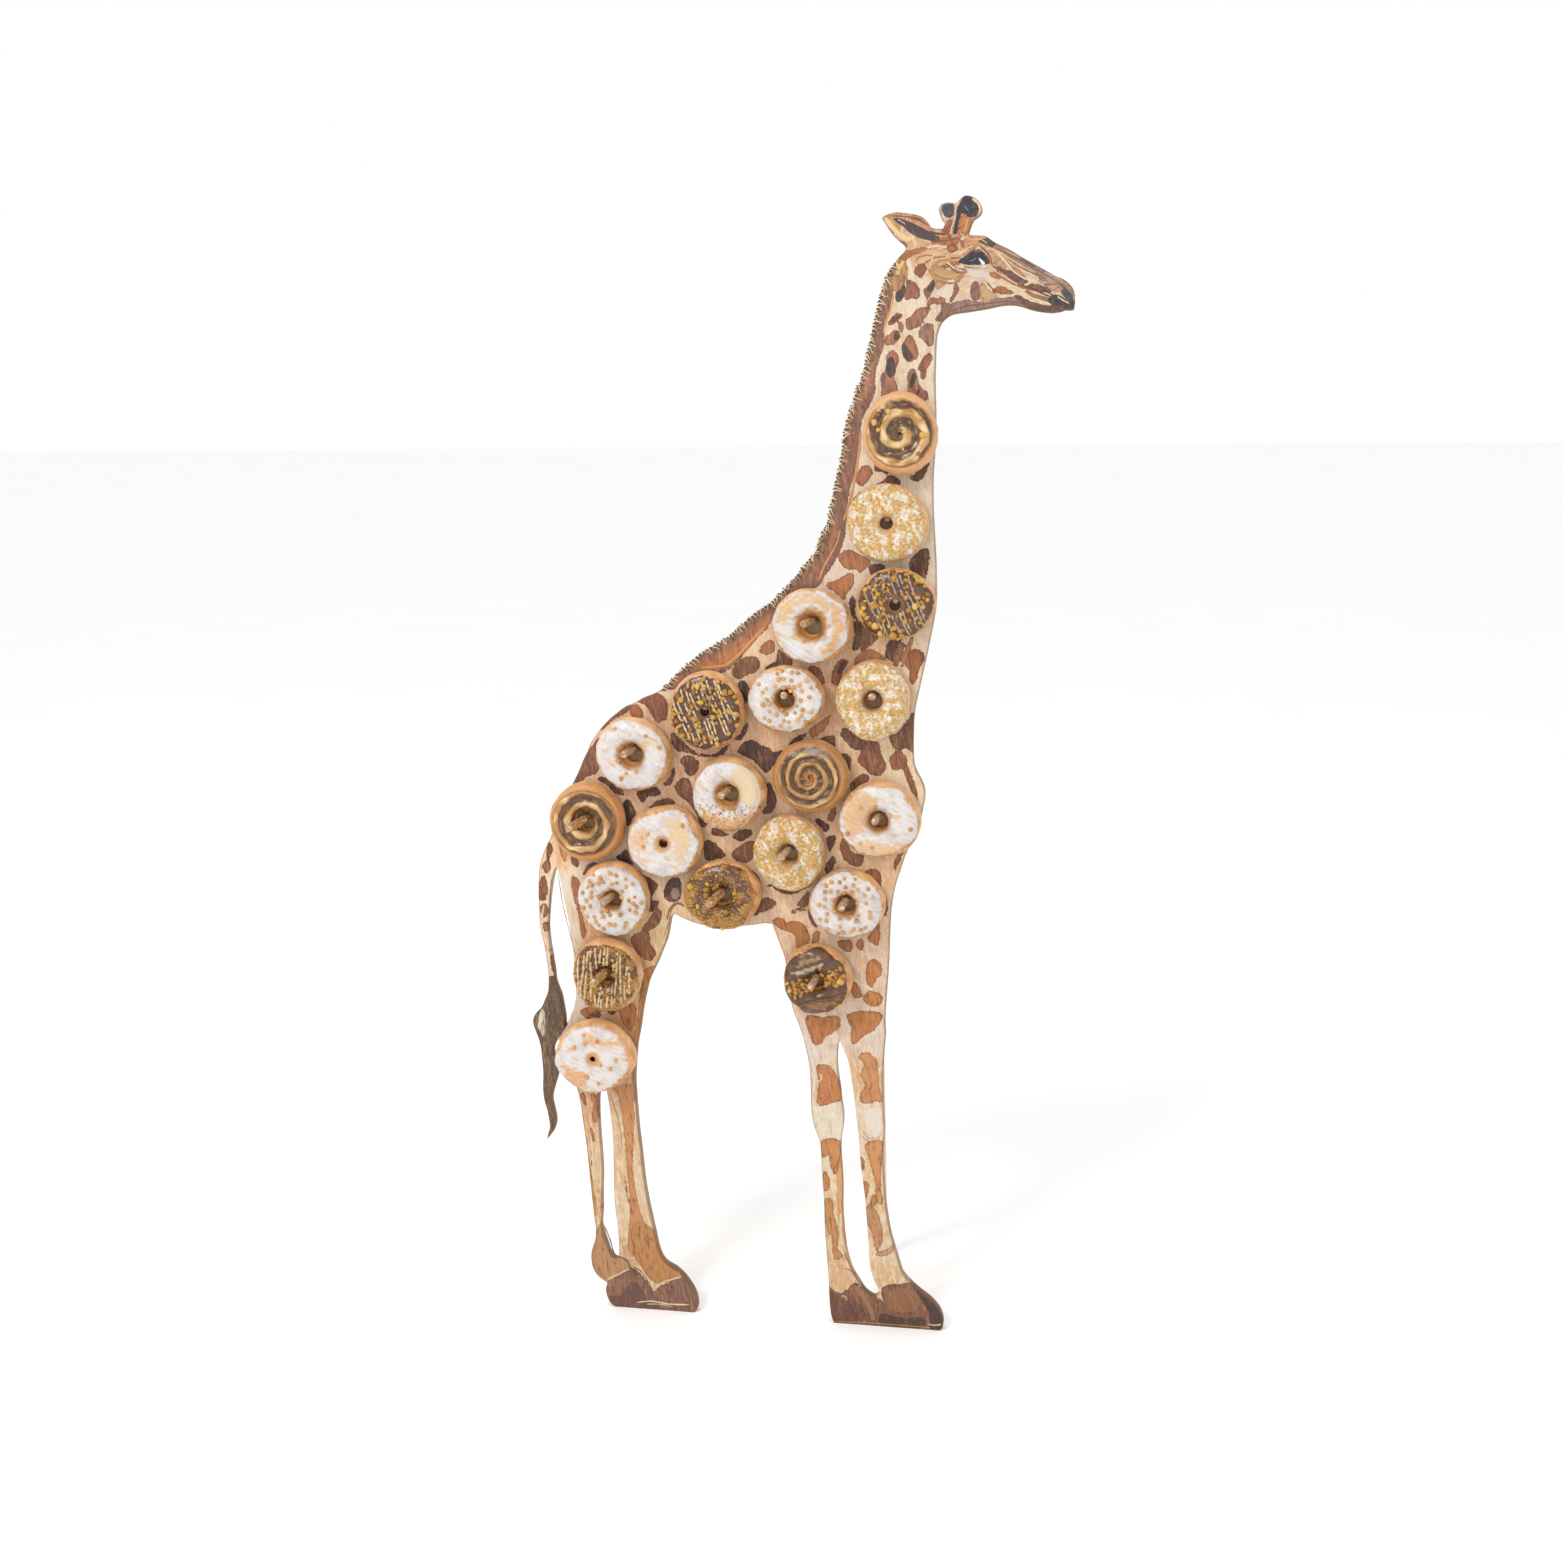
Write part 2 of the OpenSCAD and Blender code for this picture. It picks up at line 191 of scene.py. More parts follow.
def tube(path, radius, sides):
    """Vertices and faces of a closed tube along a path; radius is one number or one per point."""
    path = np.asarray(path, float)
    along = np.gradient(path, axis=0)
    along /= np.linalg.norm(along, axis=1)[:, None] + 1e-12
    side = np.cross(along, np.array(OUT))
    side /= np.linalg.norm(side, axis=1)[:, None] + 1e-12
    over = np.cross(side, along)
    radius = np.broadcast_to(radius, len(path))[:, None, None]
    turn = np.arange(sides) * math.tau / sides
    ring = (np.cos(turn)[None, :, None] * side[:, None] + np.sin(turn)[None, :, None] * over[:, None])
    verts = (path[:, None] + ring * radius).reshape(-1, 3)
    return verts, *tube_faces(len(path), sides)


def round_lump(fine):
    """Unit sphere of few faces."""
    shape = bmesh.new()
    bmesh.ops.create_icosphere(shape, subdivisions=fine, radius=1)
    verts = np.array([v.co for v in shape.verts])
    faces = np.array([[v.index for v in f.verts] for f in shape.faces])
    shape.free()
    return verts, faces


# ---------------------------------------------------------------- materials
class Shader:
    """A material's node tree, written one call per node."""

    def __init__(self, name):
        self.material = bpy.data.materials.new(name)
        self.material.use_nodes = True
        self.tree = self.material.node_tree
        self.surface = self.tree.nodes["Principled BSDF"]
        self.place = self.tree.nodes.new("ShaderNodeTexCoord").outputs["Object"]

    def put(self, socket, value):
        if isinstance(value, bpy.types.NodeSocket):
            self.tree.links.new(value, socket)
        elif isinstance(value, (int, float)) or socket.type == "VALUE":
            socket.default_value = value
        else:
            socket.default_value = tuple(value)[:3] + (1,) if socket.type == "RGBA" else tuple(value)

    def node(self, kind, inputs=(), **settings):
        node = self.tree.nodes.new("ShaderNode" + kind)
        for key, value in settings.items():
            setattr(node, key, value)
        for key, value in dict(inputs).items():
            self.put(node.inputs[key], value)
        return node

    def math(self, kind, a, b):
        return self.node("Math", {0: a, 1: b}, operation=kind).outputs[0]

    def mix(self, share, a, b):
        return self.node("Mix", {0: share, 6: a, 7: b}, data_type="RGBA").outputs[2]

    def chart(self, code):
        return tuple(tone(code))

    def attribute(self, name, output="Fac"):
        return self.node("Attribute", attribute_name=name).outputs[output]

    def stretch(self, x, y, z):
        return self.node("Mapping", {0: self.place, "Scale": (x, y, z)}).outputs[0]

    def brushed(self, angle, length):
        """Places stretched along a direction in the board's plane, for long brush streaks."""
        turned = self.node("Mapping", {0: self.place, "Rotation": (0, math.radians(angle), 0)})
        return self.node("Mapping", {0: turned.outputs[0], "Scale": (1, 1, length)}).outputs[0]

    def noise(self, scale, detail=3, place=None, rough=0.55, warp=0.0):
        inputs = {"Vector": place or self.place, "Scale": scale, "Detail": detail,
                  "Roughness": rough, "Distortion": warp}
        return self.node("TexNoise", inputs).outputs["Fac"]

    def ease(self, value, low, high, to_low=0.0, to_high=1.0):
        inputs = {0: value, 1: low, 2: high, 3: to_low, 4: to_high}
        return self.node("MapRange", inputs, interpolation_type="SMOOTHSTEP").outputs[0]

    def bump(self, height, strength, distance):
        inputs = {"Height": height, "Strength": strength, "Distance": distance}
        return self.node("Bump", inputs).outputs[0]

    def finish(self, colour=None, roughness=None, normal=None, **plain):
        for key, value in (("Base Color", colour), ("Roughness", roughness), ("Normal", normal)):
            if value is not None:
                self.put(self.surface.inputs[key], value)
        for key, value in plain.items():
            label = key.replace("_", " ").title().replace("Ior", "IOR")
            self.put(self.surface.inputs[label], value)
        return self.material


# ---------------------------------------------------------------- the board's mesh
def edge_loops(node):
    """The closed boundaries of a CAD node's painted face, in drawing units."""
    mesh = NODES[node].data
    plane = world(0, 0).dot(OUT)
    place = {}
    for v in mesh.vertices:
        if abs(v.co.dot(OUT) - plane) < 2e-5:
            up = (v.co - world(0, 0)).dot(UP)
            place[v.index] = (round(v.co.x / SCALE, 3), round(up / SCALE, 3))
    uses = set()
    for face in mesh.polygons:
        corners = list(face.vertices)
        if all(c in place for c in corners):
            for a, b in zip(corners, corners[1:] + corners[:1]):
                if place[a] != place[b]:
                    uses.add((place[a], place[b]))
    after = {a: b for a, b in uses if (b, a) not in uses}
    loops = []
    while after:
        start, here = after.popitem()
        loop = [start]
        while here != start:
            loop.append(here)
            here = after.pop(here)
        loops.append(np.array(loop))
    return loops


def split_long(loop, longest):
    """The loop with points added so that no side is longer than `longest`."""
    result = []
    for a, b in zip(loop, np.roll(loop, -1, 0)):
        pieces = max(1, math.ceil(np.linalg.norm(b - a) / longest))
        result += [a + (b - a) * i / pieces for i in range(pieces)]
    return np.array(result)


def inset(loop, distance):
    """The loop moved to its left, into the board's material, and less so near a sharp tip."""
    ahead = np.roll(loop, -1, 0) - loop
    ahead /= np.linalg.norm(ahead, axis=1)[:, None]
    behind = np.roll(ahead, 1, 0)
    both = np.column_stack([-ahead[:, 1] - behind[:, 1], ahead[:, 0] + behind[:, 0]])
    length = np.linalg.norm(both, axis=1)[:, None]
    spread = np.maximum(length / 2, 0.55)
    share = np.ones(len(loop))
    for tip in loop[(ahead * behind).sum(axis=1) < -0.2]:
        share = np.minimum(share, np.clip(np.linalg.norm(loop - tip, axis=1) / 12, 0.1, 1))
    return loop + both / np.maximum(length, 0.3) * distance / spread * share[:, None]


def inside_loops(x, z, loops):
    """True where a point lies in the board's material, by counting the edges it passes."""
    inside = np.zeros(len(x), bool)
    for loop in loops:
        for (ax, az), (bx, bz) in zip(loop, np.roll(loop, -1, 0)):
            if az != bz:
                rows = np.nonzero((az > z) != (bz > z))[0]
                inside[rows] ^= x[rows] < ax + (z[rows] - az) * (bx - ax) / (bz - az)
    return inside


def lattice(loops, spacing, low, high):
    """Points of a triangular lattice between two heights, kept clear of the loops."""
    outer = max(loops, key=len)
    xs = np.arange(outer[:, 0].min(), outer[:, 0].max(), spacing)
    zs = np.arange(low, high, spacing * math.sqrt(3) / 2)
    x, z = np.meshgrid(xs, zs)
    x = x + (np.arange(len(zs)) % 2 * spacing / 2)[:, None]
    x, z = x.ravel(), z.ravel()
    keep = inside_loops(x, z, loops)
    x, z = x[keep], z[keep]
    edge = np.concatenate(loops)
    tree = kdtree.KDTree(len(edge))
    for i, (px, pz) in enumerate(edge):
        tree.insert((px, pz, 0), i)
    tree.balance()
    clear = [tree.find((px, pz, 0))[2] > 0.6 * spacing for px, pz in zip(x, z)]
    return np.column_stack([x, z])[clear]


def triangles(loops, inner):
    """Points and triangles that fill the loops, through the inner points."""
    points, sides = [], []
    for loop in loops:
        first = len(points)
        points += [Vector(p) for p in loop]
        sides += [(first + i, first + (i + 1) % len(loop)) for i in range(len(loop))]
    edge_count = len(points)
    points += [Vector(p) for p in inner]
    found = geometry.delaunay_2d_cdt(points, sides, [], 0, 1e-7, True)
    place = np.array([tuple(p) for p in found[0]])
    tris = np.array(found[2])
    home = {old: new for new, olds in enumerate(found[3]) for old in olds}
    order = [home[i] for i in range(edge_count)]
    walls = {(home[a], home[b]) for a, b in sides}
    is_edge = np.zeros(len(place), bool)
    is_edge[order] = True
    # The triangles outside have all three corners on the loops and lie to a loop's right.
    owner = {}
    for t in np.nonzero(is_edge[tris].all(axis=1))[0]:
        for side in zip(tris[t], np.roll(tris[t], -1)):
            owner[side] = t
    outside, queue = set(), [t for (a, b), t in owner.items() if (b, a) in walls]
    while queue:
        t = queue.pop()
        if t not in outside:
            outside.add(t)
            for a, b in zip(tris[t], np.roll(tris[t], -1)):
                if (a, b) not in walls and (b, a) not in walls and (b, a) in owner:
                    queue.append(owner[(b, a)])
    return place, np.delete(tris, list(outside), axis=0), order


EASE = 0.5          # eased edge of the board, mm
BODY_GRID = 2.0     # spacing of the painted face's points, in drawing units
HEAD_GRID = 1.1
HEAD_FROM = 1098


def board_mesh():
    """The board with a dense painted face, eased edges, its bores and a plain back."""
    loops = [split_long(loop, BODY_GRID) for loop in edge_loops("board")]
    inner_loops = [inset(loop, EASE) for loop in loops]
    points = np.concatenate([lattice(inner_loops, BODY_GRID, 0, HEAD_FROM),
                             lattice(inner_loops, HEAD_GRID, HEAD_FROM + 1, DRAWN_TOP)])
    place, tris, order = triangles(inner_loops, points)
    back_place, back_tris, back_order = triangles(inner_loops, [])
    xs, zs, depths, faces = [place[:, 0]], [place[:, 1]], [np.zeros(len(place))], [tris]
    count = len(place)
    lines = np.concatenate(loops)
    rings = [np.array(order)]
    for depth in (EASE, BOARD_T - EASE):
        rings.append(np.arange(len(lines)) + count)
        xs.append(lines[:, 0])
        zs.append(lines[:, 1])
        depths.append(np.full(len(lines), depth))
        count += len(lines)
    xs.append(back_place[:, 0])
    zs.append(back_place[:, 1])
    depths.append(np.full(len(back_place), BOARD_T))
    faces.append(back_tris[:, ::-1] + count)
    rings.append(np.array(back_order) + count)
    first = 0
    for loop in loops:
        here = np.arange(len(loop)) + first
        ahead = np.roll(here, -1)
        for near, far in zip(rings, rings[1:]):
            faces.append(np.column_stack([near[here], far[here], far[ahead]]))
            faces.append(np.column_stack([near[here], far[ahead], near[ahead]]))
        first += len(loop)
    x, z, depth = np.concatenate(xs), np.concatenate(zs), np.concatenate(depths)
    z = np.maximum(z, depth * MM * math.tan(LEAN) / SCALE)
    return x, z, depth, np.concatenate(faces), max(loops, key=len)


# ---------------------------------------------------------------- paint
# The picture is laid out in drawing units. A wash of plain colours comes first, then
# four layers of areas with smooth outlines, and raised strokes over them.
WASH = [
    ("c08458", 125, 1206), ("b97f55", 158, 1183), ("d3a878", 138, 1163), ("e6d2b4", 128, 1145),
    ("caa070", 162, 1148), ("dcc8ba", 162, 1127), ("c8966c", 186, 1176), ("d8bda8", 200, 1142),
    ("dcbf9c", 182, 1135), ("c8a183", 226, 1160), ("e2c8a6", 226, 1128), ("b08d79", 252, 1148),
    ("b59482", 272, 1136), ("aa8f80", 287, 1136), ("e2c9ae", 248, 1138), ("e4cfae", 262, 1121),
    ("e8d4ba", 128, 1118), ("e4caa8", 106, 1108), ("e8d5bb", 148, 1060), ("e2cdb4", 93, 1035),
    ("e6d3ba", 149, 1000), ("e2ccb4", 85, 945), ("dccbb6", 150, 935), ("ddc8b8", 60, 845),
    ("e0d0ba", 152, 870), ("e2cdb2", 68, 900), ("dfc2a2", 8, 765), ("d9ad86", 88, 762),
    ("dfcbb2", 146, 760), ("cf9d78", 44, 700), ("e0c6a2", 131, 650), ("e2cba6", 141, 612),
    ("d9b08c", 55, 640), ("dbaf88", 20, 668), ("d9ab86", -60, 668), ("dba984", -100, 630),
    ("e0b896", -186, 600), ("e2bb96", -92, 556), ("e0bd9c", -135, 512), ("dcb696", -12, 475),
    ("e2c2a2", -60, 462), ("deb28c", 70, 520), ("dcb286", 112, 545), ("e2d3c2", -252, 495),
    ("e0cfbc", -247, 445), ("dc9e6c", -226, 440), ("e2bc8c", -146, 440), ("dcaa70", -165, 385),
    ("e2d2c2", -244, 360), ("d8985a", -176, 335), ("dcb690", -198, 230), ("e2bb92", -174, 200),
    ("e0c4a2", -196, 120), ("e4cba8", -176, 120), ("dca87c", -232, 225), ("e2bf94", -222, 175),
    ("d0a06c", -222, 120), ("bd8a5a", -221, 62), ("deb898", 10, 442), ("e0c8b6", 46, 332),
    ("e6d8ca", 22, 316), ("dcb898", 62, 418), ("e0c6aa", 103, 400), ("e2cfc0", 99, 330),
    ("e2c29c", 30, 280), ("deb07c", 92, 292), ("e9dccb", 46, 240), ("ead4bc", 92, 240),
    ("e8d8bc", 40, 190), ("dfb680", 52, 120), ("e2c094", 86, 170), ("ddb690", 104, 110),
    ("e4d2b8", 117, 95), ("dcb084", 58, 56), ("dcb88c", 112, 64), ("e8cdaa", -280, 475),
    ("e8d6b8", -278, 400), ("e4c29a", -268, 532), ("e2a878", -258, 532),
]

MANE_AREA = [
    ("86604f", (-150, 712), (-146, 730), (-100, 775), (-52, 810), (0, 850), (16, 870), (24, 905),
     (38, 965), (48, 1020), (66, 1085), (78, 1135), (96, 1168), (112, 1182), (122, 1176),
     (116, 1167), (110, 1158), (107, 1146), (108, 1128), (107, 1117), (103, 1105), (99, 1092),
     (99, 1076), (94, 1062), (90, 1048), (90, 1028), (84, 1015), (77, 1000), (74, 980),
     (71, 955), (67, 938), (62, 918), (60, 885), (56, 868), (48, 852), (38, 838), (30, 826),
     (8, 818), (-8, 800), (-22, 788), (-38, 768), (-54, 748), (-68, 736), (-90, 728),
     (-115, 718)),
]

BROAD = [
    # mane: rust stretches and the orange ribs inside them
    ("a76d50", (-133, 716), (-118, 731), (-100, 745), (-78, 757), (-55, 771), (-40, 783),
     (-22, 800), (-21, 786), (-38, 768), (-54, 750), (-70, 738), (-100, 732), (-120, 722)),
    ("c07a4c", (-22, 796), (-34, 782), (-52, 767), (-74, 754), (-96, 742), (-100, 736),
     (-72, 737), (-54, 750), (-38, 768), (-22, 786)),
    ("8e5a46", (56, 940), (66, 965), (68, 990), (72, 1010), (66, 1000), (60, 975), (54, 950)),
    ("a9705a", (72, 1012), (84, 1030), (88, 1048), (90, 1066), (82, 1052), (76, 1034)),
    ("a2684e", (14, 830), (28, 848), (40, 868), (46, 890), (51, 888), (46, 866), (36, 848),
     (24, 832)),
    # nape and cheek
    ("b8875c", (105, 1137), (108, 1149), (113, 1158), (119, 1161), (123, 1152), (121, 1140),
     (116, 1130), (108, 1131)),
    ("a9693f", (113, 1162), (120, 1160), (128, 1166), (142, 1170), (146, 1174), (128, 1173),
     (118, 1170)),
    ("bf9468", (144, 1150), (150, 1157), (160, 1152), (172, 1150), (184, 1149), (178, 1142),
     (173, 1137), (165, 1141), (158, 1133), (151, 1132), (149, 1142)),
    ("ddb184", (130, 1160), (140, 1171), (152, 1172), (162, 1166), (158, 1158), (146, 1158),
     (136, 1156)),
    ("a9673f", (146, 1177), (152, 1181), (162, 1183), (172, 1180), (174, 1171), (168, 1168),
     (164, 1174), (156, 1177)),
    ("c88f62", (176, 1176), (184, 1183), (196, 1183), (200, 1178), (193, 1172), (182, 1170)),
    # muzzle
    ("957868", (203, 1184), (227, 1172), (252, 1158), (277, 1144), (292, 1136), (296, 1124),
     (286, 1124), (274, 1130), (262, 1136), (252, 1143), (241, 1149), (233, 1157),
     (223, 1163), (214, 1169), (207, 1173)),
    ("c99878", (203, 1170), (212, 1166), (220, 1158), (224, 1151), (216, 1153), (207, 1157)),
    ("c08a6c", (222, 1160), (231, 1154), (240, 1147), (243, 1142), (234, 1144), (226, 1151)),
    ("c09480", (262, 1140), (275, 1135), (282, 1126), (274, 1127), (264, 1131)),
    ("94736a", (160, 1100), (164, 1112), (170, 1118), (182, 1121), (196, 1119), (206, 1121),
     (222, 1122), (234, 1123), (244, 1119), (256, 1116), (268, 1112), (278, 1113), (286, 1108),
     (268, 1104), (250, 1106), (232, 1112), (205, 1108), (184, 1106), (172, 1104)),
    ("c6a078", (197, 1137), (202, 1135), (208, 1129), (216, 1124), (208, 1120), (202, 1117),
     (198, 1121)),
    # hocks, shanks and pasterns
    ("dda66c", (58, 214), (61, 160), (62, 120), (66, 92), (60, 100), (55, 125), (54, 160),
     (52, 190)),
    ("cf8f4e", (-250, 256), (-240, 240), (-233, 190), (-227, 145), (-224, 110), (-232, 110),
     (-236, 170), (-244, 230)),
    ("bd7f42", (-222, 256), (-219, 215), (-217, 170), (-216, 130), (-219, 118), (-213, 118),
     (-212, 200), (-214, 256)),
    ("c98b58", (-203, 262), (-196, 250), (-191, 215), (-187, 160), (-184, 120), (-186, 92),
     (-176, 92), (-168, 104), (-174, 125), (-180, 160), (-179, 200), (-177, 240), (-177, 266)),
    ("b98049", (-186, 92), (-176, 105), (-163, 101), (-157, 96), (-153, 80), (-146, 66),
     (-138, 54), (-126, 50), (-124, 41), (-150, 32), (-164, 38), (-172, 50), (-180, 62),
     (-187, 70)),
    ("b5865c", (-229, 76), (-222, 97), (-214, 97), (-206, 80), (-203, 65), (-192, 59),
     (-184, 48), (-196, 40), (-212, 33), (-228, 42), (-234, 58)),
    ("c98a4a", (-168, 392), (-172, 352), (-178, 320), (-180, 285), (-181, 262), (-172, 262),
     (-172, 300), (-166, 340), (-158, 378), (-148, 402), (-158, 404)),
    ("d59a62", (-262, 545), (-256, 520), (-252, 522), (-250, 548)),
]

